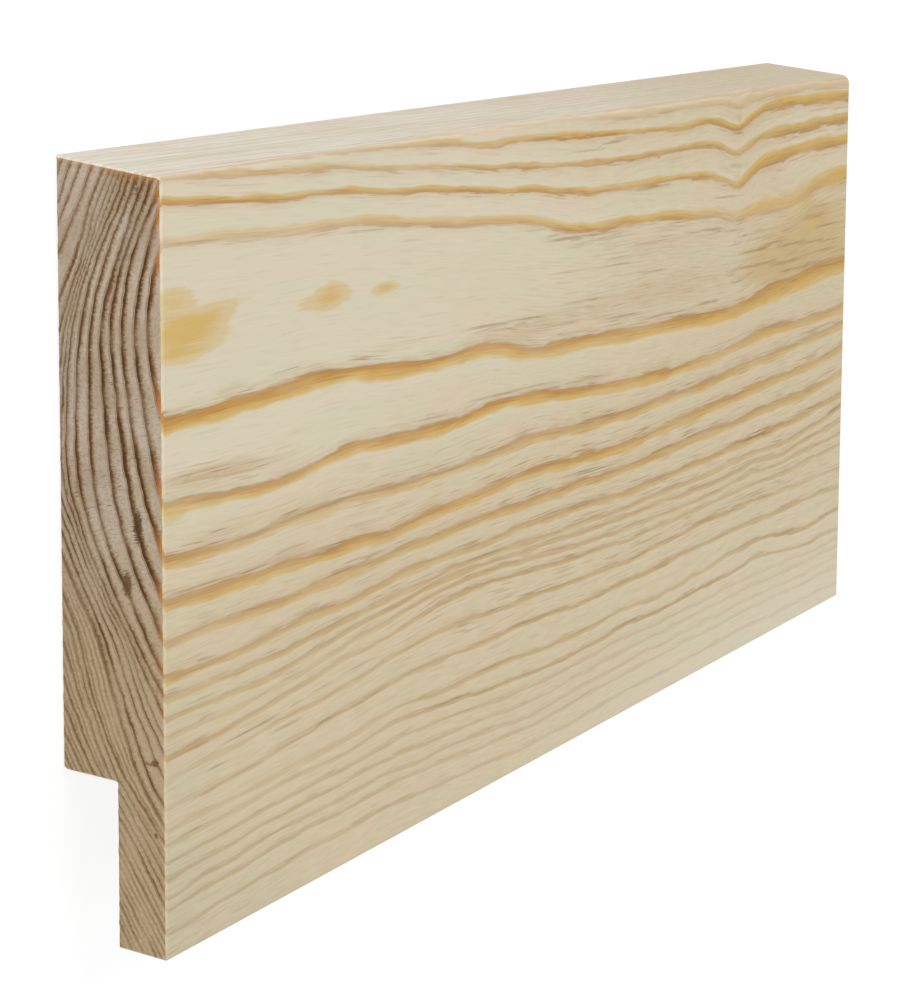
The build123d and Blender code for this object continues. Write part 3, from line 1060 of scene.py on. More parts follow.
class Wiring:
    """A material being wired: each method adds nodes and returns the socket they give."""

    def __init__(self, name: str) -> None:
        """Starts an empty material of that name.

        Args:
            name: what the material is called.
        """
        self.material = bpy.data.materials.new(name)
        self.material.use_nodes = True
        self.tree = self.material.node_tree
        self.tree.nodes.clear()

    def put(self, socket: Socket, value: Input) -> None:
        """Links a socket's value, or sets it where it is a plain number or colour.

        Args:
            socket: the input that takes it.
            value: another node's socket, or a number or colour.
        """
        if isinstance(value, bpy.types.NodeSocket):
            self.tree.links.new(value, socket)
        else:
            socket.default_value = value

    def attribute(self, name: str) -> Socket:
        """The value of a point attribute of the mesh."""
        node = self.tree.nodes.new("ShaderNodeAttribute")
        node.attribute_name = name
        return node.outputs["Fac"]

    def place(self, scale: tuple[float, float, float]) -> Socket:
        """Object coordinates, in metres, times a scale along each axis.

        Args:
            scale: how many times a pattern repeats in a metre along each axis.
        Returns:
            the scaled coordinates.
        """
        coordinates = self.tree.nodes.new("ShaderNodeTexCoord")
        mapping = self.tree.nodes.new("ShaderNodeMapping")
        mapping.inputs["Scale"].default_value = scale
        self.tree.links.new(coordinates.outputs["Object"], mapping.inputs["Vector"])
        return mapping.outputs["Vector"]

    def axes(self) -> tuple[Socket, Socket, Socket]:
        """Object coordinates as three values, in metres.

        Returns:
            the X, Y and Z coordinates.
        """
        coordinates = self.tree.nodes.new("ShaderNodeTexCoord")
        node = self.tree.nodes.new("ShaderNodeSeparateXYZ")
        self.tree.links.new(coordinates.outputs["Object"], node.inputs["Vector"])
        return tuple(node.outputs)

    def vector(self, x: Input, y: Input, z: Input) -> Socket:
        """Three values as one vector.

        Args:
            x: the first value.
            y: the second value.
            z: the third value.
        Returns:
            the vector.
        """
        node = self.tree.nodes.new("ShaderNodeCombineXYZ")
        for socket, value in zip(node.inputs, (x, y, z)):
            self.put(socket, value)
        return node.outputs["Vector"]

    def noise(self, place: Socket, detail: float, rough: float) -> Socket:
        """Noise of about 0.2 to 0.8 over a place, which changes about once in each unit of it.

        Args:
            place: where it is read.
            detail: how many finer layers are laid over it.
            rough: how strong each finer layer is beside the one before.
        Returns:
            the noise.
        """
        node = self.tree.nodes.new("ShaderNodeTexNoise")
        self.tree.links.new(place, node.inputs["Vector"])
        for name, value in (("Scale", 1.0), ("Detail", detail), ("Roughness", rough)):
            node.inputs[name].default_value = value
        return node.outputs["Fac"]

    def maths(self, operation: str, first: Input, second: Input, third: Input = 0.0) -> Socket:
        """A Math node's result.

        Args:
            operation: the node's operation.
            first: its first value.
            second: its second value.
            third: its third value, where the operation takes one.
        Returns:
            the result.
        """
        node = self.tree.nodes.new("ShaderNodeMath")
        node.operation = operation
        for socket, value in zip(node.inputs, (first, second, third)):
            self.put(socket, value)
        return node.outputs["Value"]

    def chain(self, operation: str, values: tuple[Input, ...]) -> Socket:
        """One operation carried through a row of values, from the first on.

        Args:
            operation: a Math node's operation.
            values: the row of values.
        Returns:
            the last result.
        """
        result = values[0]
        for value in values[1:]:
            result = self.maths(operation, result, value)
        return result

    def plus(self, *values: Input) -> Socket:
        """The values added up."""
        return self.chain("ADD", values)

    def times(self, *values: Input) -> Socket:
        """The values multiplied with each other."""
        return self.chain("MULTIPLY", values)

    def minus(self, first: Input, second: Input) -> Socket:
        """The first value less the second."""
        return self.maths("SUBTRACT", first, second)

    def over(self, first: Input, second: Input) -> Socket:
        """The first value divided by the second."""
        return self.maths("DIVIDE", first, second)

    def larger(self, first: Input, second: Input) -> Socket:
        """The larger of two values."""
        return self.maths("MAXIMUM", first, second)

    def size(self, value: Input) -> Socket:
        """A value without its sign."""
        return self.maths("ABSOLUTE", value, 0.0)

    def fraction(self, value: Input) -> Socket:
        """What a value has over the whole number below it."""
        return self.maths("FRACT", value, 0.0)

    def centred(self, noise: Socket, span: float) -> Socket:
        """Noise moved to lie about nothing, and spread so that it covers about the span."""
        return self.maths("MULTIPLY_ADD", noise, 1.7 * span, -0.85 * span)

    def range(
        self, value: Input, low: float, high: float, to_low: float = 0.0, to_high: float = 1.0
    ) -> Socket:
        """A value carried smoothly from one range to another, held at its ends.

        Args:
            value: what is carried over.
            low: where the first range starts.
            high: where the first range ends.
            to_low: what the start is carried to.
            to_high: what the end is carried to.
        Returns:
            the value in the second range.
        """
        node = self.tree.nodes.new("ShaderNodeMapRange")
        node.interpolation_type = "SMOOTHSTEP"
        self.put(node.inputs["Value"], value)
        limits = {"From Min": low, "From Max": high, "To Min": to_low, "To Max": to_high}
        for name, limit in limits.items():
            node.inputs[name].default_value = limit
        return node.outputs["Result"]

    def mix(self, share: Input, first: Input, second: Input, how: str = "MIX") -> Socket:
        """Two colours mixed, with the second's share.

        Args:
            share: how much of the second colour shows, from 0 to 1.
            first: the first colour.
            second: the second colour.
            how: the way the second is laid over the first.
        Returns:
            the mixed colour.
        """
        node = self.tree.nodes.new("ShaderNodeMix")
        node.data_type = "RGBA"
        node.blend_type = how
        # The node's inputs for colours come after those for numbers and vectors
        for place, value in ((0, share), (6, first), (7, second)):
            self.put(node.inputs[place], value)
        return node.outputs[2]

    def tint(self, colour: Input, by: Input) -> Socket:
        """A colour multiplied by another."""
        return self.mix(1.0, colour, by, "MULTIPLY")

    def bump(self, height: Socket, distance: float) -> Socket:
        """A normal bent by a height, in metres of relief.

        Args:
            height: what bends it.
            distance: how many metres high a height of 1 stands.
        Returns:
            the bent normal.
        """
        node = self.tree.nodes.new("ShaderNodeBump")
        node.inputs["Strength"].default_value = 1.0
        node.inputs["Distance"].default_value = distance
        self.tree.links.new(height, node.inputs["Height"])
        return node.outputs["Normal"]

    def finish(self, colour: Input, roughness: float, normal: Socket, specular: float) -> bpy.types.Material:
        """Closes the material with a plain surface shader.

        Args:
            colour: the surface's colour.
            roughness: how rough it is.
            normal: the normal with its relief.
            specular: how strongly it mirrors.
        Returns:
            the finished material.
        """
        surface = self.tree.nodes.new("ShaderNodeBsdfPrincipled")
        self.put(surface.inputs["Base Color"], colour)
        self.put(surface.inputs["Normal"], normal)
        surface.inputs["Roughness"].default_value = roughness
        surface.inputs["Specular IOR Level"].default_value = specular
        out = self.tree.nodes.new("ShaderNodeOutputMaterial")
        self.tree.links.new(surface.outputs["BSDF"], out.inputs["Surface"])
        return self.material


class PlanedWiring(Wiring):
    """The planed wood's wiring, with the noises that several of its parts follow."""

    def __init__(self, name: str) -> None:
        """Starts the material, and wires its places and its shared noises.

        Args:
            name: what the material is called.
        """
        super().__init__(name)
        self.x, self.y, _ = self.axes()
        self.line = self.attribute("grain_line")
        self.wobble = self.along_fibres(75, 190, 2, 0.5)
        self.fray = self.along_fibres(85, 1500, 3, 0.6)
        self.hair = self.along_fibres(140, 3000, 2, 0.6)
        self.fibre = self.along_fibres(60, 5200, 3, 0.7)
        self.mood = self.along_rings(42, 0.0)
        self.tone = self.noise(self.place((16, 40, 40)), 3, 0.55)

    def along_fibres(self, run: float, across: float, detail: float, rough: float) -> Socket:
        """Noise with one scale along the fibres and another across them.

        Args:
            run: how many times it changes in a metre along the board.
            across: how many times it changes in a metre square to the grain lines.
            detail: as noise() takes it.
            rough: as noise() takes it.
        Returns:
            the noise.
        """
        place = self.vector(self.times(self.x, run), self.times(self.line, across * MM), 0.0)
        return self.noise(place, detail, rough)

    def along_rings(self, run: float, layer: float) -> Socket:
        """Noise that changes slowly along each ring and from ring to ring."""
        beside = self.times(self.attribute("ring"), 1.9)
        return self.noise(self.vector(self.times(self.x, run), beside, layer), 2, 0.5)

    def along_board(self, waver: float) -> Socket:
        """The place along the board, in metres, wavering by about this much."""
        return self.plus(self.x, self.centred(self.tone, waver))


@dataclass(frozen=True)
class Band:
    """The wired values of the late wood's bands on the planed wood."""

    # How much of the ring has passed, from 0 to 1
    year: Socket
    # How far inwards from the ring's line a place lies, in band widths
    across: Socket
    # How strong the ring's late wood shows
    strength: Socket
    # 1 in the band itself, and in the streaky haze on its heart's side
    body: Socket
    haze: Socket


@dataclass(frozen=True)
class PlanedPine:
    """The planed faces and edges: pale early wood, orange late wood, resin and fine fibres."""

    cream: Colour = linear(211, 201, 178)
    tan: Colour = linear(206, 190, 161)
    veil: Colour = linear(191, 167, 132)
    greener: Colour = linear(251, 254, 250)
    pinker: Colour = linear(255, 252, 251)
    edge_cream: Colour = linear(233, 227, 215)
    edge_tan: Colour = linear(212, 196, 169)
    edge_pink: Colour = linear(217, 198, 175)
    haze: Colour = linear(186, 160, 128)
    honey: Colour = linear(204, 171, 103)
    orange: Colour = linear(195, 151, 82)
    mustard: Colour = linear(192, 158, 88)
    deep: Colour = linear(182, 136, 72)
    deep_mustard: Colour = linear(184, 146, 78)
    brown: Colour = linear(170, 133, 90)
    # Painted highlight: a paler, pinkish strip along the show face's upper arris
    arris_highlight: Colour = linear(224, 206, 182)
    olive: Colour = linear(176, 155, 115)
    thread: Colour = linear(158, 112, 58)
    olive_thread: Colour = linear(152, 124, 84)
    amber: Colour = linear(202, 169, 97)
    stained: Colour = linear(192, 165, 114)
    stroke: Colour = linear(144, 111, 74)
    sheen_low: Colour = linear(251, 251, 250)
    fleck: Colour = linear(249, 248, 245)
    # Painted shade that darkens and greys the low corner of the show face at the -X end
    corner_shade: Colour = linear(246, 250, 253)
    roughness: float = 0.5
    specular: float = 0.13
    relief: float = 0.00004

    def material(self) -> bpy.types.Material:
        """Builds the material: early wood, the late wood over it, then resin and single fibres.

        Returns:
            the finished material.
        """
        w = PlanedWiring("planed_pine")
        band = self.band(w)
        paleness = self.paleness(w, band)
        colour = self.early_wood(w, paleness)
        colour = self.with_late_wood(w, band, colour)
        colour = self.with_resin(w, colour)
        colour = w.mix(self.dark_fibres(w, band), colour, self.stroke)
        colour = self.with_sheen_and_painted_shade(w, paleness, colour)
        relief = w.plus(w.times(w.fibre, 0.4), w.times(band.body, 0.4))
        return w.finish(colour, self.roughness, w.bump(relief, self.relief), self.specular)

    def band(self, w: PlanedWiring) -> Band:
        """Where the late wood lies.

        The distance inwards from the nearest ring's line, in mm, is the part of a ring left to
        the line times the spacing, and over the band's width it is how far across the band a
        place lies. The band is sharp at the bark's side. On the heart's side the fibres fray
        it, and a streaky haze leads it in.

        Args:
            w: the material's wiring.
        Returns:
            the band's wired values.
        """
        pitch = w.attribute("pitch")
        swell = w.range(w.along_rings(90, 7.0), 0.3, 0.7, 0.76, 1.26)
        width = w.times(w.attribute("band_width"), swell)
        shift = w.plus(w.centred(w.wobble, 1.0), w.centred(w.fray, 0.35))
        ring = w.plus(w.attribute("ring"), w.over(shift, pitch))
        inwards = w.times(w.minus(0.5, w.fraction(w.plus(ring, 0.5))), pitch)
        frayed = w.plus(inwards, w.centred(w.fray, 0.9), w.centred(w.hair, 0.9))
        across = w.over(frayed, width)
        start = w.range(w.over(inwards, width), -0.64, -0.28)
        streaks = w.range(w.hair, 0.36, 0.62, 0.25, 1.0)
        return Band(
            year=w.fraction(ring),
            across=across,
            strength=w.times(w.attribute("strength"), w.range(w.mood, 0.28, 0.62, 0.76, 1.04)),
            body=w.times(start, w.range(across, 0.42, 0.66, 1.0, 0.0)),
            haze=w.times(w.range(across, 0.4, 0.6), w.range(across, 0.7, 1.6, 1.0, 0.0), streaks),
        )

    def paleness(self, w: PlanedWiring, band: Band) -> Socket:
        """How cream the early wood is: in its pale patches, and just past a strong line."""
        glow = w.times(w.range(band.year, 0.15, 0.5, 0.22, 0.0), w.attribute("strength"))
        return w.plus(w.attribute("pale"), glow, w.centred(w.tone, 0.3))

    def edge_wood(self, w: PlanedWiring) -> Socket:
        """The high edge's early wood: darker along the board, with long pinkish streaks."""
        colour = w.mix(w.range(w.along_board(0.09), -0.12, 0.12), self.edge_cream, self.edge_tan)
        streak = w.along_fibres(26, 420, 3, 0.6)
        return w.mix(w.range(streak, 0.46, 0.70, 0.0, 0.7), colour, self.edge_pink)

    def early_wood(self, w: PlanedWiring, paleness: Socket) -> Socket:
        """The early wood, faintly clouded, stained and veiled where the board is, with painted shade in the
        veil over the low corner at the -X end and a painted highlight along the show face's upper arris.

        Args:
            w: the material's wiring.
            paleness: how cream each place is.
        Returns:
            the early wood's colour.
        """
        colour = w.mix(w.range(paleness, 0.0, 1.0), self.tan, self.cream)
        colour = w.mix(w.attribute("edge"), colour, self.edge_wood(w))
        colour = w.mix(w.range(w.hair, 0.4, 0.75, 0.0, 0.07), colour, self.haze)
        cloud = w.along_fibres(34, 110, 2, 0.5)
        colour = w.tint(colour, w.mix(w.range(cloud, 0.36, 0.64), self.greener, self.pinker))
        stained = w.plus(w.attribute("stain"), w.centred(w.fray, 0.8))
        colour = w.mix(w.range(stained, 0.15, 1.0, 0.0, 0.8), colour, self.stained)
        veiled = w.plus(w.attribute("veil"), w.centred(w.fray, 0.5), w.centred(w.hair, 0.5))
        colour = w.mix(w.range(veiled, 0.10, 0.90, 0.0, 0.72), colour, self.veil)
        # A painted highlight along the show face's upper arris
        return w.mix(w.times(w.attribute("arris"), 0.7), colour, self.arris_highlight)

    def late_wood(self, w: PlanedWiring, band: Band) -> Socket:
        """The late wood's own colour.

        It is honey at the bark's side, and goes through orange to brown on the heart's side. It
        is yellower in the +X half and deeper close to the -X end, and the rings that aren't
        warm are olive.

        Args:
            w: the material's wiring.
            band: the late wood's bands.
        Returns:
            the late wood's colour.
        """
        yellowed = w.range(w.along_board(0.05), 0.01, 0.08, 0.0, 0.85)
        orange = w.mix(yellowed, self.orange, self.mustard)
        colour = w.mix(w.range(band.across, -0.30, 0.10), self.honey, orange)
        deepened = w.times(w.range(band.across, 0.05, 0.30), w.range(w.mood, 0.34, 0.54, 0.45, 1.0))
        near_end = w.range(w.along_board(0.04), -0.115, -0.070, 0.85, 0.0)
        deepened = w.larger(deepened, w.times(near_end, w.range(band.across, -0.20, 0.15)))
        colour = w.mix(deepened, colour, w.mix(yellowed, self.deep, self.deep_mustard))
        browned = w.times(w.range(band.across, 0.32, 0.52), w.range(w.mood, 0.38, 0.58, 0.3, 1.0))
        return w.mix(w.attribute("warmth"), self.olive, w.mix(browned, colour, self.brown))

    def with_late_wood(self, w: PlanedWiring, band: Band, colour: Socket) -> Socket:
        """The haze, the late wood and its fine dark threads laid over a colour.

        Args:
            w: the material's wiring.
            band: the late wood's bands.
            colour: what lies under them.
        Returns:
            the colour with them.
        """
        shown = w.times(band.body, band.strength)
        colour = w.mix(w.times(band.haze, band.strength, 0.5), colour, self.haze)
        colour = w.mix(shown, colour, self.late_wood(w, band))
        threads = w.range(w.along_fibres(70, 3600, 2, 0.6), 0.50, 0.64)
        threads = w.times(threads, w.range(band.across, -0.45, 0.25, 0.08, 0.38), shown)
        return w.mix(threads, colour, w.mix(w.attribute("warmth"), self.olive_thread, self.thread))

    def with_resin(self, w: PlanedWiring, colour: Socket) -> Socket:
        """Amber resin soaked into a colour, in two steps with frayed edges."""
        resin = w.plus(w.attribute("resin"), w.centred(w.fray, 0.35), w.centred(w.wobble, 0.5))
        soaked = w.plus(w.range(resin, 0.20, 0.42, 0.0, 0.48), w.range(resin, 0.5, 1.0, 0.0, 0.46))
        return w.mix(soaked, colour, self.amber)

    def dark_fibres(self, w: PlanedWiring, band: Band) -> Socket:
        """How dark single fibres make each place.

        Those placed by eye are drawn from how far aside they lie. Loose ones are the peaks of a
        fine noise, and show more in the haze, in stains and veils and where dashes lie.

        Args:
            w: the material's wiring.
            band: the late wood's bands.
        Returns:
            the share of the fibres' colour.
        """
        aside = w.size(w.plus(w.attribute("hair_aside"), w.centred(w.fray, 0.22)))
        drawn = w.range(w.over(aside, w.attribute("hair_half")), 0.30, 1.0, 1.0, 0.0)
        placed = w.times(drawn, w.attribute("hair"), w.range(w.hair, 0.34, 0.52, 0.45, 1.0))
        dashes = w.attribute("dashes")
        stroke = w.along_fibres(95, 2600, 1, 0.5)
        fine = w.range(w.plus(stroke, w.times(dashes, 0.02)), 0.61, 0.69)
        hazed = w.times(band.haze, band.strength, 0.6)
        clouded = w.plus(w.times(w.attribute("stain"), 0.35), w.times(w.attribute("veil"), 0.45))
        loose = w.times(fine, w.plus(0.10, hazed, clouded, w.times(dashes, 0.16)))
        return w.maths("MINIMUM", w.plus(w.times(placed, 0.58), loose), 0.85)

    def with_sheen_and_painted_shade(self, w: PlanedWiring, paleness: Socket, colour: Socket) -> Socket:
        """A colour with faint tints of fine fibres and flecks, and painted shade over the low corner at the
        -X end.

        Args:
            w: the material's wiring.
            paleness: how cream each place is.
            colour: what they are laid over.
        Returns:
            the colour with them.
        """
        colour = w.tint(colour, w.mix(w.range(w.fibre, 0.25, 0.75), self.sheen_low, WHITE))
        flecks = w.range(w.along_fibres(210, 1500, 2, 0.6), 0.36, 0.64, 1.0, 0.0)
        flecked = w.times(flecks, w.range(paleness, 0.1, 0.9, 1.0, 0.35))
        colour = w.mix(flecked, colour, w.tint(colour, self.fleck))
        # Painted shade: the low corner of the show face at the -X end is darkened and greyed
        painted_shade_corner = w.plus(w.along_board(0.04), w.times(w.y, 0.8))
        painted_shade_corner = w.range(painted_shade_corner, -0.165, -0.120, 1.0, 0.0)
        return w.mix(painted_shade_corner, colour, w.tint(colour, self.corner_shade))


class SawnWiring(Wiring):
    """The sawn ends' wiring, with the places and noises that several of its parts follow."""

    def __init__(self, name: str) -> None:
        """Starts the material, and wires its places and its shared noises.

        Args:
            name: what the material is called.
        """
        super().__init__(name)
        _, self.height, self.depth = self.axes()
        self.pitch = self.attribute("end_pitch")
        self.near = self.attribute("near_edge")
        self.grit = self.over_end(1700, 1700, 2, 0.6)
        self.patch = self.over_end(110, 210, 2, 0.5)
        self.scratch = self.along_rays(0.7, 6.0, 3.0, 2, 0.5)
        self.from_middle = self.size(self.minus(self.height, 0.008))
        below = self.plus(self.height, self.centred(self.patch, 0.012))
        self.lower = self.range(below, -0.016, 0.010, 1.0, 0.0)

    def over_end(self, height: float, depth: float, detail: float, rough: float) -> Socket:
        """Noise over the end, which changes so many times in a metre of height and of depth."""
        return self.noise(self.place((0, height, depth)), detail, rough)

    def along_rays(
        self, past_rings: float, past_rays: float, layer: float, detail: float, rough: float
    ) -> Socket:
        """Noise that is stretched along the rays, so that it tears a line square to the rings.

        Args:
            past_rings: how many times it changes in a mm from ring to ring.
            past_rays: how many times it changes in a mm from ray to ray.
            layer: which layer of the noise is taken, so that two differ.
            detail: as noise() takes it.
            rough: as noise() takes it.
        Returns:
            the noise.
        """
        outwards = self.times(self.attribute("ring"), self.maths("MINIMUM", self.pitch, 4.0), past_rings)
        place = self.vector(outwards, self.times(self.attribute("ray"), past_rays), layer)
        return self.noise(place, detail, rough)


@dataclass(frozen=True)
class TornLine:
    """The wired values of the rings' lines on a sawn end."""

    # The ring number, wandering a little
    ring: Socket
    # How strong the line shows
    strength: Socket
    # 1 in the dark line itself, and in the paler fuzz on its two sides
    core: Socket
    halo: Socket


@dataclass(frozen=True)
class SawnPine:
    """The sawn ends: darker, rough across the rings, each late wood line a dark fuzzy band."""

    light: Colour = linear(190, 175, 157)
    dull: Colour = linear(174, 156, 133)
    low: Colour = linear(179, 158, 127)
    mid: Colour = linear(138, 107, 64)
    dark: Colour = linear(80, 55, 34)
    spot: Colour = linear(80, 58, 32)
    low_spot: Colour = linear(110, 76, 42)
    red: Colour = linear(108, 64, 42)
    planed: Colour = linear(206, 188, 160)
    rust: Colour = linear(126, 88, 60)
    ember: Colour = linear(142, 92, 52)
    warm: Colour = linear(194, 126, 60)
    honey: Colour = linear(226, 176, 108)
    gritty: Colour = linear(236, 236, 236)
    roughness: float = 0.8
    specular: float = 0.1
    relief: float = 0.00018
    # The ring from which the lines stand wide apart, and the finer lines that show between them:
    # in how many parts they cut a ring, and the spacings, in mm, from where to where they come up
    fine_from: tuple[float, float] = (12.6, 13.1)
    fine_lines: tuple[tuple[int, float, float], ...] = ((2, 1.2, 1.7), (4, 2.4, 3.0))

    def material(self) -> bpy.types.Material:
        """Builds the material: the wood, each line's fuzz and core, then spots and glow.

        Returns:
            the finished material.
        """
        w = SawnWiring("sawn_pine")
        line = self.line(w)
        colour = w.mix(w.times(line.halo, line.strength, 0.95), self.wood(w), self.mid)
        colour = w.mix(self.finer(w, line), colour, self.mid)
        colour = w.mix(w.times(line.core, line.strength), colour, self.line_colour(w))
        smudge = w.plus(w.attribute("smudge"), w.centred(w.scratch, 1.3))
        spot = w.mix(w.lower, self.spot, self.low_spot)
        colour = w.mix(w.range(smudge, 0.40, 0.95, 0.0, 0.86), colour, spot)
        colour = self.with_glow(w, line, colour)
        colour = w.tint(colour, w.mix(w.range(w.grit, 0.25, 0.75), self.gritty, WHITE))
        relief = w.plus(w.times(w.grit, 0.7), w.times(line.core, -0.25))
        return w.finish(colour, self.roughness, w.bump(relief, self.relief), self.specular)

    def line(self, w: SawnWiring) -> TornLine:
        """Where the rings' lines lie.

        The distance to the next ring's line, in mm, is the part of the ring left to it times
        the spacing. The line is sharp on the bark's side. On the heart's side the saw has torn
        it along the rays, the more the wider it is.

        Args:
            w: the material's wiring.
        Returns:
            the lines' wired values.
        """
        width = w.attribute("end_width")
        ring = w.plus(w.attribute("ring"), w.over(w.centred(w.over_end(260, 260, 3, 0.6), 0.5), w.pitch))
        year = w.fraction(ring)
        away, past = w.times(w.minus(1.0, year), w.pitch), w.times(year, w.pitch)
        teeth = w.along_rays(0.8, 2.7, 0.0, 3, 0.6)
        rough = w.plus(w.centred(teeth, 0.52), w.centred(w.grit, 0.34))
        torn = w.plus(away, w.times(rough, w.range(width, 0.35, 0.9, 0.35, 1.0)))
        across = w.over(torn, w.times(width, w.range(w.from_middle, 0.012, 0.036, 1.25, 1.0)))
        start = w.range(away, 0.0, 0.20)
        halo = w.times(start, w.range(across, 0.6, 1.4, 1.0, 0.0))
        patchy = w.range(w.patch, 0.32, 0.62, 0.55, 1.15)
        return TornLine(
            ring=ring,
            strength=w.times(w.attribute("end_strength"), patchy, w.range(w.lower, 0.0, 1.0, 1.0, 0.82)),
            core=w.times(start, w.range(across, 0.40, 0.85, 1.0, 0.0)),
            halo=w.larger(halo, w.range(past, 0.0, 0.40, 0.85, 0.0)),
        )

    def finer(self, w: SawnWiring, line: TornLine) -> Socket:
        """How dark the finer lines between the outer rings' lines are, in the lower part.

        The distance from the nearest of them is the distance of the ring number, times how many
        parts they cut a ring into, from a whole number, over the parts and times the spacing.

        Args:
            w: the material's wiring.
            line: the rings' lines.
        Returns:
            the share of the lines' paler brown.
        """
        fine = 0.0
        for parts, from_spacing, to_spacing in self.fine_lines:
            aside = w.over(w.times(w.maths("PINGPONG", w.times(line.ring, parts), 0.5), w.pitch), parts)
            drawn = w.range(w.plus(aside, w.centred(w.grit, 0.12)), 0.06, 0.34, 1.0, 0.0)
            fine = w.larger(fine, w.times(drawn, w.range(w.pitch, from_spacing, to_spacing)))
        late_rings = w.range(line.ring, *self.fine_from)
        return w.times(fine, late_rings, w.range(w.patch, 0.30, 0.60, 0.22, 0.65), w.lower)

    def wood(self, w: SawnWiring) -> Socket:
        """The wood between the lines: mottled, yellower low down, paler at the rim, scratched.

        Args:
            w: the material's wiring.
        Returns:
            the wood's colour.
        """
        mottle = w.over_end(130, 170, 3, 0.6)
        colour = w.mix(w.range(mottle, 0.3, 0.7), self.light, self.dull)
        colour = w.mix(w.lower, colour, self.low)
        colour = w.mix(w.range(w.near, 0.6, 1.0, 0.0, 0.6), colour, self.planed)
        scratched = w.range(w.from_middle, 0.014, 0.034, 0.80, 0.22)
        return w.mix(w.times(w.range(w.scratch, 0.55, 0.72), scratched), colour, self.mid)

    def line_colour(self, w: SawnWiring) -> Socket:
        """The lines' own colour: dark, redder in patches, and rusty high up towards the back.

        Args:
            w: the material's wiring.
        Returns:
            the colour of a line's core.
        """
        reddened = w.range(w.over_end(90, 120, 1, 0.5), 0.50, 0.68, 0.0, 0.5)
        upper_back = w.minus(w.height, w.times(w.depth, 1.6))
        upper_back = w.range(w.plus(upper_back, w.centred(w.patch, 0.02)), 0.022, 0.040)
        return w.mix(w.times(upper_back, 0.75), w.mix(reddened, self.dark, self.red), self.rust)

    def with_glow(self, w: SawnWiring, line: TornLine, colour: Socket) -> Socket:
        """A colour with the lines' last mm before the show face lit orange, less so low down.

        Args:
            w: the material's wiring.
            line: the rings' lines.
            colour: what is lit.
        Returns:
            the colour with the glow.
        """
        rim = w.mix(w.range(w.near, 0.74, 0.95), self.warm, self.honey)
        glow = w.mix(w.range(w.near, 0.40, 0.72), self.ember, rim)
        lit = w.times(w.range(w.near, 0.0, 0.45), w.range(w.height, -0.030, 0.004, 0.3, 1.0))
        inked = w.larger(line.core, w.times(line.halo, 0.5))
        return w.mix(w.times(inked, lit), colour, glow)


@dataclass(frozen=True)
class Lamp:
    """A soft square lamp, aimed at the board; its sizes are in metres and watts."""

    name: str
    place: tuple[float, float, float]
    side: float
    power: float

    def build(self) -> None:
        """Puts the lamp in its place."""
        data = bpy.data.lights.new(self.name, "AREA")
        data.size = self.side
        data.energy = self.power
        lamp = bpy.data.objects.new(self.name, data)
        lamp.location = self.place
        lamp.rotation_euler = (-Vector(self.place)).to_track_quat("-Z", "Y").to_euler()
        bpy.context.scene.collection.objects.link(lamp)


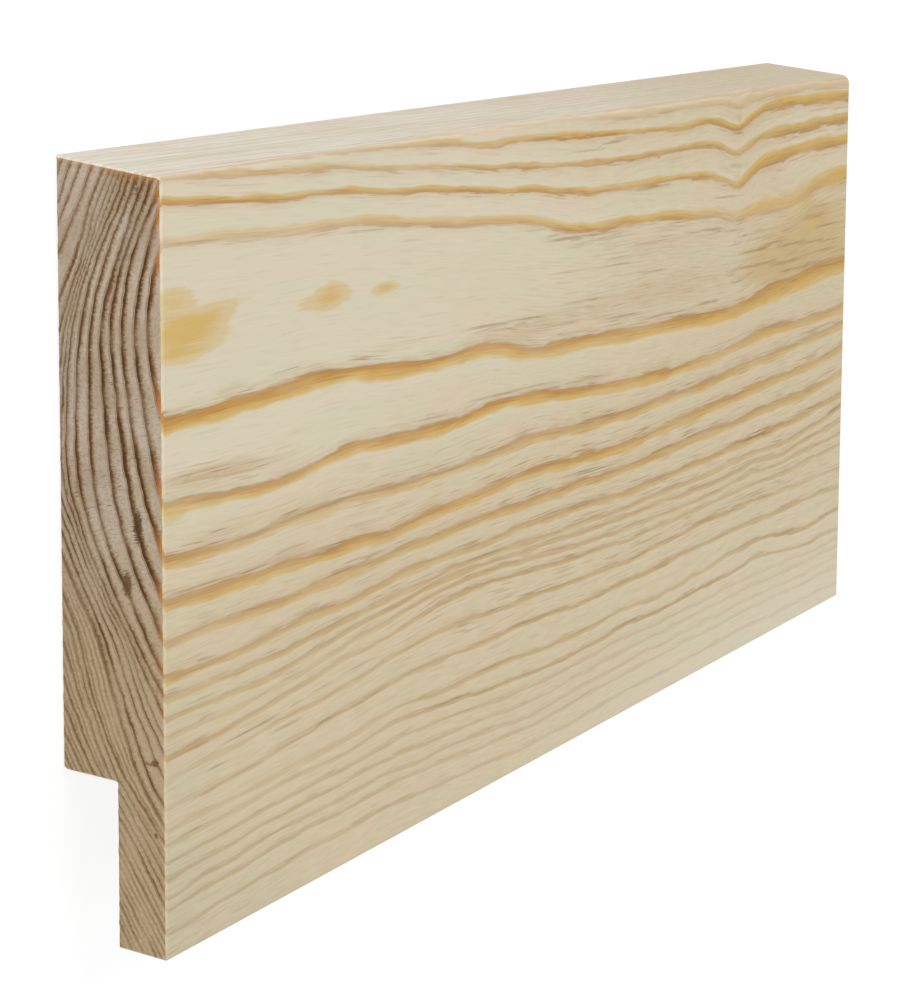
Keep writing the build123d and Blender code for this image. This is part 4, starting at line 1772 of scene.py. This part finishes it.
@dataclass(frozen=True)
class Studio:
    """The floor, the lamps, the world and the camera; its lengths are in metres."""

    camera_place: tuple[float, float, float] = (-0.40995, 0.10127, 0.25575)
    camera_forward: tuple[float, float, float] = (0.83687, -0.12365, -0.53325)
    camera_up: tuple[float, float, float] = (0.10081, 0.9923, -0.07189)
    lens: float = 93.6
    # The photograph's axis meets it near its top edge; this takes up the larger part of that
    shift: float = -0.3
    clip: tuple[float, float] = (0.01, 20.0)
    floor_size: float = 8.0
    # The floor lies just under the board, so that the two never share a plane
    floor_height: float = -0.0002
    floor_colour: Colour = linear(222, 222, 222)
    # How much of the floor is plain white to the camera, and how bright that white is
    floor_white_share: float = 0.78
    floor_white: float = 1.12
    surround_colour: Colour = (0.98, 0.99, 1.0, 1.0)
    surround_strength: float = 0.52
    lamps: tuple[Lamp, ...] = (
        Lamp("key", (-0.25, 0.95, 1.25), 0.9, 11.0),
        Lamp("fill", (0.9, -0.7, 1.4), 1.2, 6.0),
        Lamp("end_fill", (-1.3, 0.15, 0.30), 0.9, 8.0),
    )

    @staticmethod
    def seen_or_mirrored(tree: bpy.types.NodeTree) -> Socket:
        """1 for rays from the camera, off a glossy surface or through glass, and 0 for the rest.

        Args:
            tree: the nodes it is wired into.
        Returns:
            the wired 1 or 0.
        """
        path = tree.nodes.new("ShaderNodeLightPath")
        found = path.outputs["Is Camera Ray"]
        for name in ("Is Glossy Ray", "Is Transmission Ray"):
            either = tree.nodes.new("ShaderNodeMath")
            either.operation = "MAXIMUM"
            tree.links.new(found, either.inputs[0])
            tree.links.new(path.outputs[name], either.inputs[1])
            found = either.outputs[0]
        return found

    @staticmethod
    def close(tree: bpy.types.NodeTree, out: str, share: Socket, plain: Socket, white: Socket) -> None:
        """Mixes a plain and a white shader by a share, and joins them to the output node.

        Args:
            tree: the nodes they are wired into.
            out: which output node closes them.
            share: how much of the white one shows.
            plain: the plain shader.
            white: the white shader.
        """
        mix = tree.nodes.new("ShaderNodeMixShader")
        for place, socket in enumerate((share, plain, white)):
            tree.links.new(socket, mix.inputs[place])
        tree.links.new(mix.outputs[0], tree.nodes.new(out).inputs["Surface"])

    def floor(self) -> None:
        """A large white floor, which shows white to the camera and keeps a faint shadow."""
        half = self.floor_size / 2
        corners = [(-half, -half, 0), (half, -half, 0), (half, half, 0), (-half, half, 0)]
        mesh = bpy.data.meshes.new("floor")
        mesh.from_pydata(corners, [], [(0, 1, 2, 3)])
        floor = bpy.data.objects.new("floor", mesh)
        floor.location.z = self.floor_height
        bpy.context.scene.collection.objects.link(floor)
        material = bpy.data.materials.new("floor_white")
        material.use_nodes = True
        tree = material.node_tree
        tree.nodes.clear()
        plain = tree.nodes.new("ShaderNodeBsdfDiffuse")
        plain.inputs["Color"].default_value = self.floor_colour
        white = tree.nodes.new("ShaderNodeEmission")
        white.inputs["Strength"].default_value = self.floor_white
        share = tree.nodes.new("ShaderNodeMath")
        share.operation = "MULTIPLY"
        share.inputs[1].default_value = self.floor_white_share
        tree.links.new(self.seen_or_mirrored(tree), share.inputs[0])
        self.close(tree, "ShaderNodeOutputMaterial", share.outputs[0], plain.outputs[0], white.outputs[0])
        floor.data.materials.append(material)

    def world(self) -> None:
        """An even pale surround, white where the camera sees it."""
        world = bpy.data.worlds.new("surround")
        bpy.context.scene.world = world
        world.use_nodes = True
        tree = world.node_tree
        tree.nodes.clear()
        surround = tree.nodes.new("ShaderNodeBackground")
        surround.inputs["Color"].default_value = self.surround_colour
        surround.inputs["Strength"].default_value = self.surround_strength
        white = tree.nodes.new("ShaderNodeBackground")
        white.inputs["Color"].default_value = WHITE
        seen = self.seen_or_mirrored(tree)
        self.close(tree, "ShaderNodeOutputWorld", seen, surround.outputs[0], white.outputs[0])

    def camera(self) -> None:
        """The camera at the photograph's angle."""
        data = bpy.data.cameras.new("camera")
        data.lens = self.lens
        data.shift_y = self.shift
        data.clip_start, data.clip_end = self.clip
        camera = bpy.data.objects.new("camera", data)
        back = -Vector(self.camera_forward).normalized()
        right = Vector(self.camera_up).cross(back).normalized()
        turn = Matrix((right, back.cross(right), back)).transposed()
        camera.matrix_world = Matrix.Translation(self.camera_place) @ turn.to_4x4()
        bpy.context.scene.collection.objects.link(camera)
        bpy.context.scene.camera = camera

    def build(self) -> None:
        """Sets up everything round the board."""
        self.floor()
        self.world()
        for lamp in self.lamps:
            lamp.build()
        self.camera()
        bpy.context.scene.view_settings.view_transform = "Standard"


def main() -> None:
    """Builds the board and the studio."""
    logging.basicConfig(level=logging.INFO, format="%(name)s: %(message)s")
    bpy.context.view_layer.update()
    low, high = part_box(BOARD_NODE)
    board = LiningBoard(low, high)
    piece = board.build()
    board.dress(piece)
    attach(piece, BODY)
    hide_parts(BOARD_NODE)
    LOG.info("%s: %d faces", piece.name, len(piece.data.polygons))
    Studio().build()


if __name__ == "__main__":
    main()
